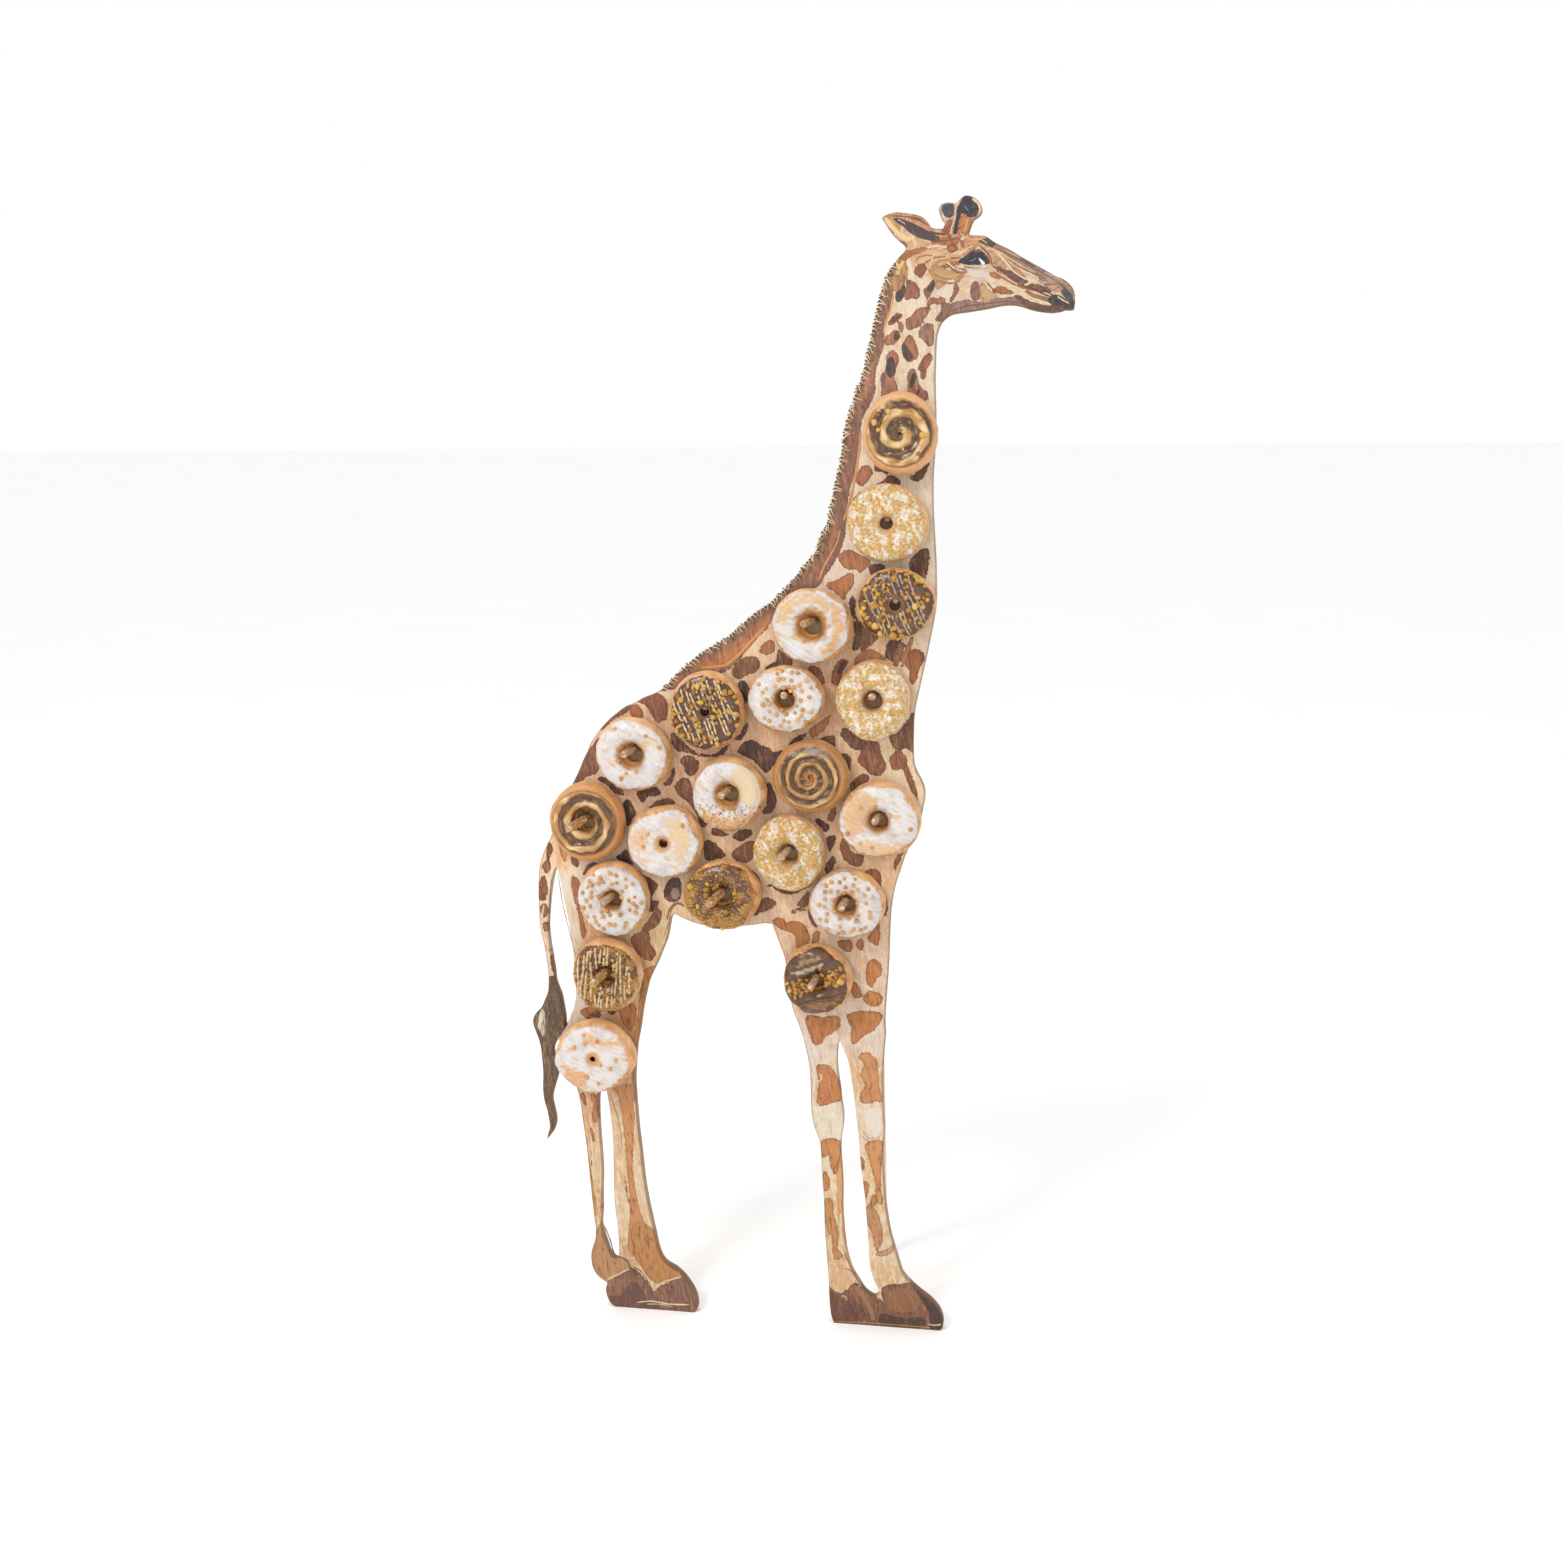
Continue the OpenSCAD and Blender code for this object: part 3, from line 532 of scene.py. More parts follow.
PATCHES = [
    # neck
    ("8c5440", (129, 1151), (132, 1156), (139, 1158), (142, 1152), (140, 1146), (137, 1143),
     (131, 1146)),
    ("935f50", (122, 1142), (129, 1140), (134, 1135), (136, 1128), (134, 1122), (128, 1123),
     (120, 1121), (119, 1128), (121, 1136)),
    ("8f5a46", (141, 1134), (146, 1138), (150, 1140), (150, 1133), (147, 1126), (143, 1121),
     (141, 1125), (139, 1130)),
    ("98624e", (144, 1114), (143, 1119), (148, 1124), (154, 1123), (161, 1127), (163, 1123),
     (161, 1118), (156, 1116), (150, 1117), (146, 1115)),
    ("97634d", (121, 1102), (127, 1106), (131, 1111), (138, 1114), (145, 1114), (147, 1111),
     (142, 1104), (139, 1098), (132, 1093), (124, 1091), (121, 1095)),
    ("90695c", (134, 1088), (138, 1094), (143, 1098), (149, 1097), (151, 1091), (151, 1082),
     (150, 1076), (145, 1074), (140, 1080), (135, 1084)),
    ("8b6556", (152, 1102), (157, 1110), (158, 1117), (166, 1118), (169, 1112), (166, 1106),
     (158, 1099)),
    ("9a5f52", (166, 1119), (169, 1127), (171, 1136), (174, 1136), (176, 1131), (173, 1125),
     (169, 1119)),
    ("8c6054", (187, 1127), (189, 1136), (194, 1139), (197, 1133), (197, 1121), (190, 1120)),
    ("8e5c46", (102, 1097), (107, 1105), (112, 1109), (117, 1108), (118, 1104), (112, 1100),
     (107, 1096)),
    ("a97155", (112, 1100), (118, 1099), (119, 1092), (117, 1088), (114, 1091), (114, 1095)),
    ("a8684a", (98, 1078), (100, 1085), (106, 1089), (110, 1092), (114, 1090), (115, 1084),
     (111, 1078), (105, 1076)),
    ("a5684c", (117, 1075), (120, 1081), (124, 1086), (128, 1085), (132, 1077), (135, 1068),
     (133, 1062), (128, 1059), (122, 1060), (118, 1066)),
    ("9b6149", (134, 1052), (138, 1060), (143, 1067), (148, 1067), (150, 1062), (146, 1055),
     (143, 1048), (142, 1042), (139, 1041), (137, 1044), (137, 1050)),
    ("a86c50", (101, 1066), (107, 1071), (113, 1068), (115, 1060), (112, 1053), (110, 1045),
     (104, 1043), (100, 1050), (101, 1058)),
    ("a56f5c", (95, 1044), (98, 1049), (103, 1048), (110, 1043), (114, 1031), (108, 1020),
     (98, 1018), (96, 1027), (96, 1036)),
    ("9c6250", (123, 1045), (127, 1052), (132, 1051), (134, 1043), (138, 1033), (144, 1029),
     (146, 1022), (140, 1018), (130, 1018), (123, 1030), (124, 1038)),
    ("ae7050", (70, 937), (74, 950), (80, 954), (86, 952), (88, 946), (84, 938), (77, 932)),
    # The next two patches are painted shadow that the doughnuts cast on the neck.
    ("6f4638", (89, 954), (90, 948), (96, 947), (104, 944), (106, 960), (95, 962)),
    ("6f4638", (90, 931), (98, 937), (104, 943), (112, 942), (118, 935), (112, 920), (98, 920)),
    ("6c453a", (126, 941), (132, 945), (140, 953), (148, 958), (144, 945), (139, 938),
     (134, 936)),
    ("a8694c", (67, 914), (70, 922), (75, 926), (82, 924), (78, 910), (72, 900)),
    ("62402f", (127, 850), (130, 858), (141, 867), (147, 867), (149, 858), (147, 845),
     (143, 830), (130, 840)),
    ("b9744c", (51, 858), (56, 864), (66, 866), (76, 860), (86, 855), (82, 846), (75, 841),
     (70, 845), (64, 844), (56, 849)),
    # Painted shadow below a doughnut.
    ("71483a", (84, 848), (92, 851), (102, 849), (98, 838), (88, 838)),
    ("bf7a50", (38, 829), (48, 833), (56, 837), (64, 841), (69, 839), (68, 828), (62, 820),
     (58, 812), (50, 819)),
    ("5a4031", (63, 811), (68, 817), (71, 810), (70, 800), (74, 790), (68, 795), (65, 803)),
    # shoulder and chest
    ("58402f", (67, 761), (70, 777), (68, 789), (76, 790), (82, 785), (79, 770), (72, 759)),
    ("8a5f42", (78, 785), (85, 786), (96, 778), (93, 770), (84, 762), (76, 760)),
    ("65472f", (102, 755), (105, 768), (112, 775), (122, 776), (118, 765), (113, 755),
     (112, 747), (105, 750)),
    ("9c6a4a", (112, 756), (118, 766), (124, 768), (120, 752), (116, 742), (111, 746)),
    ("c2834f", (120, 750), (124, 762), (130, 775), (134, 778), (131, 764), (126, 750),
     (120, 738)),
    ("b87c52", (69, 744), (73, 755), (85, 761), (96, 757), (104, 748), (90, 738), (75, 735)),
    ("a5653f", (124, 745), (129, 760), (138, 761), (144, 757), (145, 750), (140, 740),
     (136, 728), (133, 723), (128, 729), (129, 738)),
    ("96603f", (45, 731), (48, 741), (54, 749), (61, 750), (64, 746), (58, 737), (55, 725),
     (50, 721), (46, 723)),
    ("9a6446", (20, 741), (30, 741), (35, 734), (38, 724), (30, 722), (20, 728)),
    ("b87c4c", (20, 672), (30, 680), (38, 686), (45, 690), (42, 680), (36, 672), (26, 664)),
    ("7a4f3a", (134, 694), (126, 684), (116, 672), (107, 668), (111, 658), (117, 652),
     (126, 655), (136, 650), (138, 670)),
    ("6e4836", (55, 668), (58, 676), (66, 675), (78, 672), (94, 664), (86, 655), (76, 652),
     (68, 653), (61, 660)),
    ("774f3c", (33, 664), (41, 667), (49, 667), (50, 655), (44, 653), (38, 659)),
    ("633f31", (-2, 657), (8, 666), (19, 670), (14, 661), (6, 656)),
    ("89563e", (74, 643), (80, 654), (90, 661), (97, 660), (100, 648), (105, 638), (104, 630),
     (98, 625), (88, 626), (79, 634)),
    ("6a443a", (54, 647), (60, 649), (66, 645), (67, 638), (65, 628), (60, 634), (57, 641)),
    ("9a6040", (108, 640), (112, 650), (119, 652), (126, 647), (128, 640), (121, 633),
     (113, 631)),
    ("8a5638", (122, 642), (128, 637), (133, 625), (138, 610), (141, 596), (138, 600),
     (130, 613), (124, 628), (120, 637)),
    ("8c573e", (65, 611), (70, 620), (80, 627), (87, 623), (82, 612), (72, 604)),
    ("6b4535", (-26, 612), (-22, 615), (-18, 607), (-14, 597), (-17, 586), (-22, 580),
     (-31, 580), (-26, 589), (-27, 600)),
    ("633c2c", (27, 573), (31, 577), (38, 573), (44, 569), (42, 563), (38, 561), (34, 567)),
    ("70463a", (40, 552), (42, 557), (50, 558), (50, 549), (44, 540), (41, 545)),
    ("9a6444", (41, 577), (46, 587), (51, 591), (50, 578), (47, 573)),
    ("6a4034", (38, 522), (43, 531), (48, 536), (51, 530), (48, 522), (42, 516)),
    ("8f5840", (55, 545), (58, 556), (63, 550), (70, 540), (81, 538), (81, 530), (77, 525),
     (68, 526), (59, 533)),
    ("a5673c", (115, 522), (114, 530), (118, 541), (126, 553), (132, 556), (124, 540),
     (119, 529)),
    ("ab6a44", (82, 520), (94, 523), (100, 517), (101, 506), (97, 498), (88, 508)),
    ("9a6240", (101, 484), (103, 495), (107, 489), (108, 477), (104, 470)),
    ("8e5a42", (8, 479), (12, 487), (21, 496), (24, 486), (18, 478)),
    ("8e5a42", (20, 470), (21, 478), (24, 474), (26, 465), (31, 457), (27, 456), (22, 464)),
    ("9c6a52", (1, 471), (4, 475), (8, 472), (5, 469)),
    ("9c6a52", (5, 475), (10, 477), (20, 475), (14, 473)),
    ("85533b", (-42, 466), (-36, 478), (-29, 487), (-19, 485), (-14, 481), (-22, 474),
     (-33, 469)),
    ("4a3733", (-42, 516), (-37, 513), (-33, 506), (-36, 499), (-42, 500)),
    # Painted shadow: the dark crescent below doughnut 14.
    ("64422f", (-27, 499), (-20, 499), (-8, 492), (6, 492), (18, 499), (26, 504), (14, 508),
     (-10, 506)),
    # withers, back and flank
    ("5c3d30", (-58, 648), (-52, 657), (-44, 661), (-36, 659), (-30, 655), (-22, 653),
     (-18, 648), (-8, 650), (-10, 640), (-18, 632), (-27, 625), (-34, 632), (-42, 640),
     (-52, 643)),
    ("875a42", (-64, 732), (-60, 743), (-48, 751), (-38, 751), (-32, 745), (-36, 735),
     (-46, 731), (-56, 726)),
    ("b3764c", (-34, 757), (-28, 766), (-20, 770), (-16, 764), (-18, 756), (-26, 753)),
    ("7a5140", (-15, 753), (-11, 759), (-4, 753), (4, 748), (0, 740), (-12, 745)),
    ("633f32", (-28, 739), (-18, 745), (-9, 747), (-8, 740), (-20, 736)),
    ("50382e", (-57, 722), (-50, 725), (-44, 716), (-46, 702), (-50, 700), (-53, 710)),
    ("8d573f", (-170, 701), (-160, 707), (-147, 710), (-138, 705), (-134, 695), (-136, 682),
     (-141, 680), (-146, 677), (-152, 684), (-155, 690), (-161, 697)),
    ("b5694a", (-178, 690), (-174, 697), (-168, 697), (-162, 688), (-164, 682), (-175, 684)),
    ("8a5a46", (-216, 668), (-206, 681), (-192, 692), (-179, 699), (-177, 691), (-184, 686),
     (-196, 680), (-206, 670)),
    # The first patch is a dark patch joined to a painted shadow crescent below a doughnut; the second is
    # painted shadow.
    ("5f3b2c", (-132, 660), (-130, 668), (-122, 662), (-112, 652), (-100, 645), (-86, 644),
     (-76, 650), (-66, 656), (-72, 645), (-86, 641), (-102, 642), (-118, 646), (-125, 646)),
    ("5f3b2c", (-62, 662), (-54, 668), (-48, 680), (-46, 672), (-54, 660)),
    ("734a36", (-122, 636), (-118, 641), (-108, 642), (-100, 634), (-103, 624), (-110, 619),
     (-116, 624), (-118, 630)),
    ("7b5140", (-128, 605), (-124, 614), (-117, 618), (-110, 613), (-107, 600), (-106, 586),
     (-101, 576), (-107, 582), (-112, 590), (-120, 595)),
    ("855843", (-141, 609), (-134, 618), (-130, 628), (-127, 626), (-130, 612), (-135, 608)),
    ("593629", (-171, 600), (-163, 603), (-150, 607), (-143, 601), (-148, 596), (-158, 595),
     (-162, 589), (-167, 590)),
    ("8a5844", (-157, 583), (-147, 592), (-134, 595), (-127, 589), (-140, 586)),
    ("5f3c30", (-215, 613), (-210, 617), (-203, 615), (-195, 606), (-186, 602), (-186, 596),
     (-195, 598), (-206, 608)),
    ("4c3732", (-186, 588), (-180, 592), (-175, 585), (-171, 577), (-174, 572), (-181, 562),
     (-185, 572)),
    ("8a5945", (-252, 596), (-246, 610), (-237, 624), (-228, 641), (-220, 652), (-212, 660),
     (-210, 640), (-213, 628), (-216, 620), (-226, 616), (-234, 610), (-240, 602)),
    ("55382f", (-195, 526), (-189, 532), (-182, 536), (-180, 528), (-176, 519), (-186, 519)),
    ("744638", (-234, 504), (-230, 515), (-223, 520), (-217, 518), (-224, 510)),
    ("8a5a48", (-248, 526), (-243, 514), (-237, 518), (-242, 526)),
    ("b06d45", (-247, 503), (-239, 500), (-235, 486), (-238, 470), (-233, 454), (-231, 440),
     (-235, 432), (-238, 445), (-240, 462), (-245, 480)),
    ("66422f", (-96, 546), (-88, 549), (-78, 541), (-71, 532), (-82, 528), (-94, 527)),
    ("8c5a41", (-66, 533), (-57, 543), (-42, 550), (-36, 541), (-42, 529), (-50, 524),
     (-60, 528)),
    ("74493a", (-88, 556), (-84, 563), (-75, 560), (-67, 556), (-75, 553)),
    ("663f30", (-64, 553), (-56, 561), (-42, 562), (-42, 556), (-50, 550), (-58, 549)),
    ("784d3c", (-142, 487), (-138, 500), (-131, 506), (-123, 505), (-121, 492), (-123, 481),
     (-130, 478), (-139, 480)),
    ("684030", (-174, 508), (-160, 506), (-148, 498), (-152, 488), (-155, 480), (-147, 479),
     (-149, 471), (-157, 466), (-166, 480)),
    ("8e5c42", (-167, 445), (-157, 460), (-150, 470), (-143, 465), (-148, 452), (-158, 445)),
    ("99643f", (-180, 436), (-165, 445), (-158, 442), (-157, 430), (-151, 420), (-156, 410),
     (-168, 414), (-176, 424)),
    ("5b382a", (-104, 578), (-98, 572), (-91, 566), (-98, 563)),
    # tops of the legs
    ("b8763f", (-20, 461), (-14, 465), (-6, 464), (-4, 460), (4, 462), (14, 460), (20, 452),
     (22, 438), (8, 430), (6, 444), (0, 449), (-8, 451), (-14, 454)),
    ("b3713c", (24, 438), (27, 450), (34, 451), (32, 440)),
    ("b3703c", (86, 446), (94, 458), (98, 466), (100, 452), (98, 438), (92, 440)),
    ("9c6444", (52, 441), (58, 443), (68, 442), (70, 434), (66, 429), (58, 432)),
    ("a86c44", (74, 441), (79, 445), (82, 438), (80, 431), (75, 434)),
    ("be7b40", (85, 414), (90, 423), (97, 421), (102, 416), (101, 404), (96, 400), (92, 391),
     (86, 394), (84, 405)),
    ("be7b40", (82, 381), (88, 387), (95, 386), (103, 381), (101, 372), (92, 369), (84, 373)),
    ("b36e3e", (66, 392), (72, 397), (78, 390), (80, 380), (72, 378), (68, 384)),
    ("bb763f", (63, 357), (70, 362), (80, 364), (95, 364), (103, 361), (101, 352), (93, 342),
     (86, 338), (80, 333), (72, 325), (68, 332), (68, 345)),
    ("b8743f", (17, 352), (24, 357), (36, 355), (46, 357), (55, 356), (57, 348), (52, 340),
     (40, 332), (36, 325), (28, 322), (22, 335)),
    ("b87238", (-196, 358), (-176, 361), (-175, 340), (-182, 328), (-190, 338)),
    ("b0703c", (-240, 349), (-225, 357), (-212, 355), (-217, 345), (-230, 340)),
    ("6f4028", (-228, 345), (-220, 350), (-214, 347), (-218, 341)),
    ("6f4028", (-208, 352), (-200, 356), (-197, 350), (-203, 346)),
    # fore shanks
    ("c07a48", (30, 299), (37, 301), (46, 299), (53, 289), (57, 276), (59, 262), (50, 258),
     (36, 253), (30, 256), (31, 268), (32, 280)),
    ("cb8d5a", (76, 312), (85, 318), (95, 312), (99, 302), (100, 280), (104, 262), (96, 262),
     (88, 258), (78, 262), (80, 272), (84, 280), (79, 292), (83, 304)),
    ("c8864e", (36, 196), (35, 212), (45, 217), (56, 215), (60, 208), (57, 195), (55, 180),
     (50, 174), (46, 185), (44, 198), (40, 193)),
    ("c08248", (38, 176), (42, 177), (46, 168), (46, 160), (42, 154), (38, 156), (37, 166)),
    ("c28a54", (40, 146), (47, 147), (50, 138), (50, 128), (55, 114), (56, 100), (55, 88),
     (61, 80), (52, 74), (49, 84), (48, 100), (44, 106), (41, 118), (40, 132)),
    ("cf9058", (85, 213), (104, 217), (104, 200), (103, 180), (103, 160), (106, 148),
     (103, 142), (98, 150), (96, 170), (92, 185), (88, 198)),
    ("bf8244", (80, 198), (84, 194), (85, 186), (82, 181), (79, 188)),
    ("b87a4a", (82, 168), (88, 169), (90, 162), (87, 150), (84, 145), (83, 155)),
    ("b98058", (90, 145), (95, 155), (98, 148), (96, 140), (91, 142)),
    ("c08a5e", (86, 138), (92, 143), (100, 132), (104, 120), (106, 108), (104, 98), (99, 88),
     (96, 95), (94, 108), (90, 115), (86, 125)),
    ("cc9c70", (99, 88), (108, 90), (117, 98), (117, 88), (110, 84), (100, 82)),
    # hind shanks
    ("ad683a", (-242, 252), (-236, 253), (-233, 243), (-234, 238), (-238, 242)),
    ("b97a4c", (-229, 252), (-222, 252), (-220, 240), (-219, 228), (-224, 218), (-228, 228),
     (-226, 238)),
    ("b5764c", (-230, 214), (-226, 210), (-224, 197), (-228, 199)),
    ("9c6a42", (-230, 186), (-228, 186), (-228, 180), (-230, 180)),
    ("8d6040", (-229, 174), (-227, 173), (-227, 167), (-229, 168)),
    ("b87440", (-191, 160), (-188, 150), (-184, 122), (-180, 108), (-184, 116), (-189, 140)),
    # tail
    ("8a5236", (-273, 542), (-267, 535), (-270, 526), (-275, 518), (-275, 531)),
    ("8f5a3c", (-281, 514), (-274, 522), (-270, 512), (-275, 505), (-278, 508)),
    ("8a5236", (-283, 500), (-277, 503), (-274, 490), (-277, 476), (-284, 475), (-286, 485)),
    ("96603f", (-284, 468), (-277, 471), (-274, 462), (-278, 455), (-283, 458)),
    ("9a6844", (-281, 449), (-275, 450), (-274, 441), (-280, 439)),
    ("9a6844", (-276, 419), (-273, 418), (-274, 414)),
    ("8f5c3c", (-273, 411), (-267, 410), (-265, 395), (-268, 386), (-272, 398)),
    ("66533f", (-278, 386), (-264, 386), (-257, 350), (-254, 333), (-261, 322), (-269, 308),
     (-263, 290), (-260, 278), (-266, 262), (-268, 240), (-266, 210), (-276, 185),
     (-292, 190), (-300, 300), (-300, 350), (-284, 372)),
    # hooves
    ("7c5240", (42, 40), (52, 38), (58, 36), (66, 42), (75, 50), (82, 45), (90, 38), (100, 34),
     (106, 30), (104, 40), (105, 46), (112, 50), (125, 52), (136, 54), (152, 48), (166, 36),
     (180, 22), (180, -8), (42, -8)),
    ("80594a", (-216, -8), (-218, 14), (-212, 30), (-205, 35), (-195, 40), (-187, 47),
     (-181, 48), (-172, 42), (-163, 30), (-158, 22), (-150, 29), (-140, 34), (-124, 41),
     (-112, 34), (-100, 20), (-100, -8)),
    ("7a5344", (-152, 74), (-144, 64), (-132, 60), (-112, 46), (-98, 24), (-105, 12),
     (-112, 26), (-120, 38), (-128, 47), (-140, 54), (-148, 64)),
    # ear, brow and ossicones
    ("c07a48", (178, 1205), (188, 1203), (187, 1196), (184, 1186), (178, 1184), (173, 1187),
     (174, 1195)),
    ("9a5e42", (159, 1197), (165, 1201), (169, 1199), (167, 1190), (163, 1186), (157, 1190)),
    ("b0763f", (206, 1145), (211, 1149), (217, 1147), (219, 1141), (213, 1141)),
    ("a5673a", (209, 1129), (216, 1134), (222, 1133), (228, 1129), (233, 1127), (228, 1125),
     (216, 1126)),
    ("a87450", (243, 1129), (252, 1126), (262, 1122), (271, 1120), (265, 1117), (252, 1119),
     (246, 1123)),
    ("7a5242", (206, 1155), (215, 1153), (222, 1150), (232, 1148), (242, 1140), (252, 1135),
     (262, 1133), (271, 1126), (262, 1126), (250, 1129), (240, 1132), (230, 1139),
     (220, 1146)),
    ("a8683e", (176, 1159), (165, 1158), (156, 1155), (160, 1152), (170, 1154), (176, 1156)),
    ("97694f", (184, 1151), (176, 1153), (166, 1153), (172, 1148), (180, 1147)),
    ("8c5e3e", (74, 42), (84, 46), (96, 40), (98, 30), (88, 22), (78, 26)),
    ("a25e3c", (162, 1172), (166, 1177), (172, 1176), (173, 1170), (168, 1167)),
]

DARKS = [
    ("4b4038", (111, 1130), (114, 1131), (118, 1137), (121, 1135), (119, 1124), (113, 1119),
     (110, 1124)),
    ("4e423a", (142, 1131), (145, 1137), (150, 1142), (151, 1134), (149, 1130), (145, 1129)),
    ("5f3d34", (108, 1084), (112, 1092), (115, 1089), (115, 1083), (111, 1081)),
    ("4d3f3a", (118, 1068), (117, 1076), (121, 1077), (126, 1071), (129, 1064), (126, 1060),
     (121, 1062)),
    ("3f3d3c", (101, 1057), (103, 1063), (108, 1064), (111, 1056), (110, 1046), (105, 1043),
     (101, 1049)),
    ("3d3838", (125, 1035), (127, 1043), (129, 1048), (133, 1046), (131, 1037), (127, 1031)),
    ("463a38", (132, 1026), (135, 1031), (137, 1030), (135, 1026)),
    ("5a3c33", (106, 1100), (109, 1105), (115, 1107), (115, 1104), (110, 1100)),
    ("5c3a2c", (51, 736), (54, 745), (61, 748), (59, 741), (55, 734)),
    ("6a4a36", (69, 760), (70, 768), (76, 767), (74, 760)),
    ("4f3a36", (-142, 488), (-137, 499), (-130, 506), (-123, 504), (-124, 494), (-133, 490),
     (-138, 483)),
    # eye, nostril and mouth
    ("232834", (174, 1159), (181, 1164), (188, 1168), (195, 1169), (202, 1165), (207, 1157),
     (203, 1155), (196, 1155), (188, 1155), (180, 1156)),
    ("4b4739", (195, 1179), (201, 1181), (206, 1182), (212, 1176), (209, 1172), (203, 1174),
     (198, 1176)),
    ("474e4c", (279, 1127), (283, 1130), (288, 1127), (292, 1120), (291, 1113), (287, 1116),
     (283, 1121)),
    ("34383a", (270, 1113), (266, 1119), (272, 1124), (279, 1123), (284, 1119), (288, 1117),
     (294, 1118), (296, 1112), (292, 1106), (285, 1108), (278, 1110)),
    ("6a4a3e", (232, 1123), (238, 1124), (246, 1119), (258, 1115), (270, 1113), (281, 1112),
     (281, 1107), (268, 1105), (254, 1108), (244, 1113)),
    # ear and ossicones
    ("4a4044", (107, 1203), (113, 1204), (121, 1201), (130, 1197), (140, 1192), (150, 1186),
     (156, 1183), (150, 1179), (142, 1181), (132, 1184), (124, 1189), (117, 1195),
     (110, 1200)),
    ("2b313d", (172, 1203), (172, 1210), (176, 1219), (181, 1225), (187, 1223), (189, 1218),
     (194, 1215), (195, 1210), (193, 1204), (188, 1202), (184, 1203), (178, 1206), (175, 1200),
     (173, 1187), (169, 1187), (170, 1195)),
    ("3c4a57", (157, 1212), (160, 1216), (168, 1216), (170, 1211), (169, 1205), (165, 1202),
     (160, 1204)),
    # hooves
    ("6a4234", (44, 34), (60, 30), (74, 18), (84, -6), (44, -6)),
    ("8f6240", (108, 30), (112, 42), (126, 48), (140, 46), (148, 34), (144, 22), (128, 18),
     (114, 20)),
    ("4e382c", (104, 16), (126, 12), (152, 14), (150, 2), (106, 0)),
    ("443630", (138, 54), (152, 47), (166, 36), (180, 22), (180, -2), (160, -2), (158, 20),
     (148, 36)),
    ("6c4a40", (-218, -6), (-216, 12), (-196, 14), (-186, 30), (-176, 30), (-166, 12),
     (-150, 4), (-150, -6)),
]

LIGHTS = [
    ("e9c995", (100, 1205), (105, 1200), (112, 1192), (120, 1186), (127, 1183), (121, 1180),
     (112, 1186), (104, 1194), (98, 1201)),
    ("e2bb7c", (111, 1148), (112, 1160), (117, 1162), (119, 1158), (115, 1152), (114, 1147)),
    ("ead4b0", (188, 1220), (191, 1222), (195, 1219), (199, 1212), (197, 1206), (195, 1211),
     (192, 1217)),
    ("dfd3bb", (-290, 332), (-286, 345), (-283, 350), (-280, 341), (-280, 328), (-283, 317),
     (-287, 324)),
    ("e4eaef", (195, 1162), (198, 1161), (202, 1156), (199, 1155), (197, 1158)),
    ("dccac0", (186, 1150), (198, 1149), (204, 1146), (196, 1143), (188, 1145)),
    ("decdb8", (152, 1128), (160, 1131), (166, 1141), (171, 1139), (168, 1128), (164, 1122),
     (156, 1125)),
    ("e6dac9", (85, 250), (93, 254), (102, 252), (103, 238), (101, 226), (94, 222), (87, 230)),
    ("a88e80", (-133, 487), (-131, 494), (-126, 494), (-123, 488), (-126, 482), (-131, 482)),
]

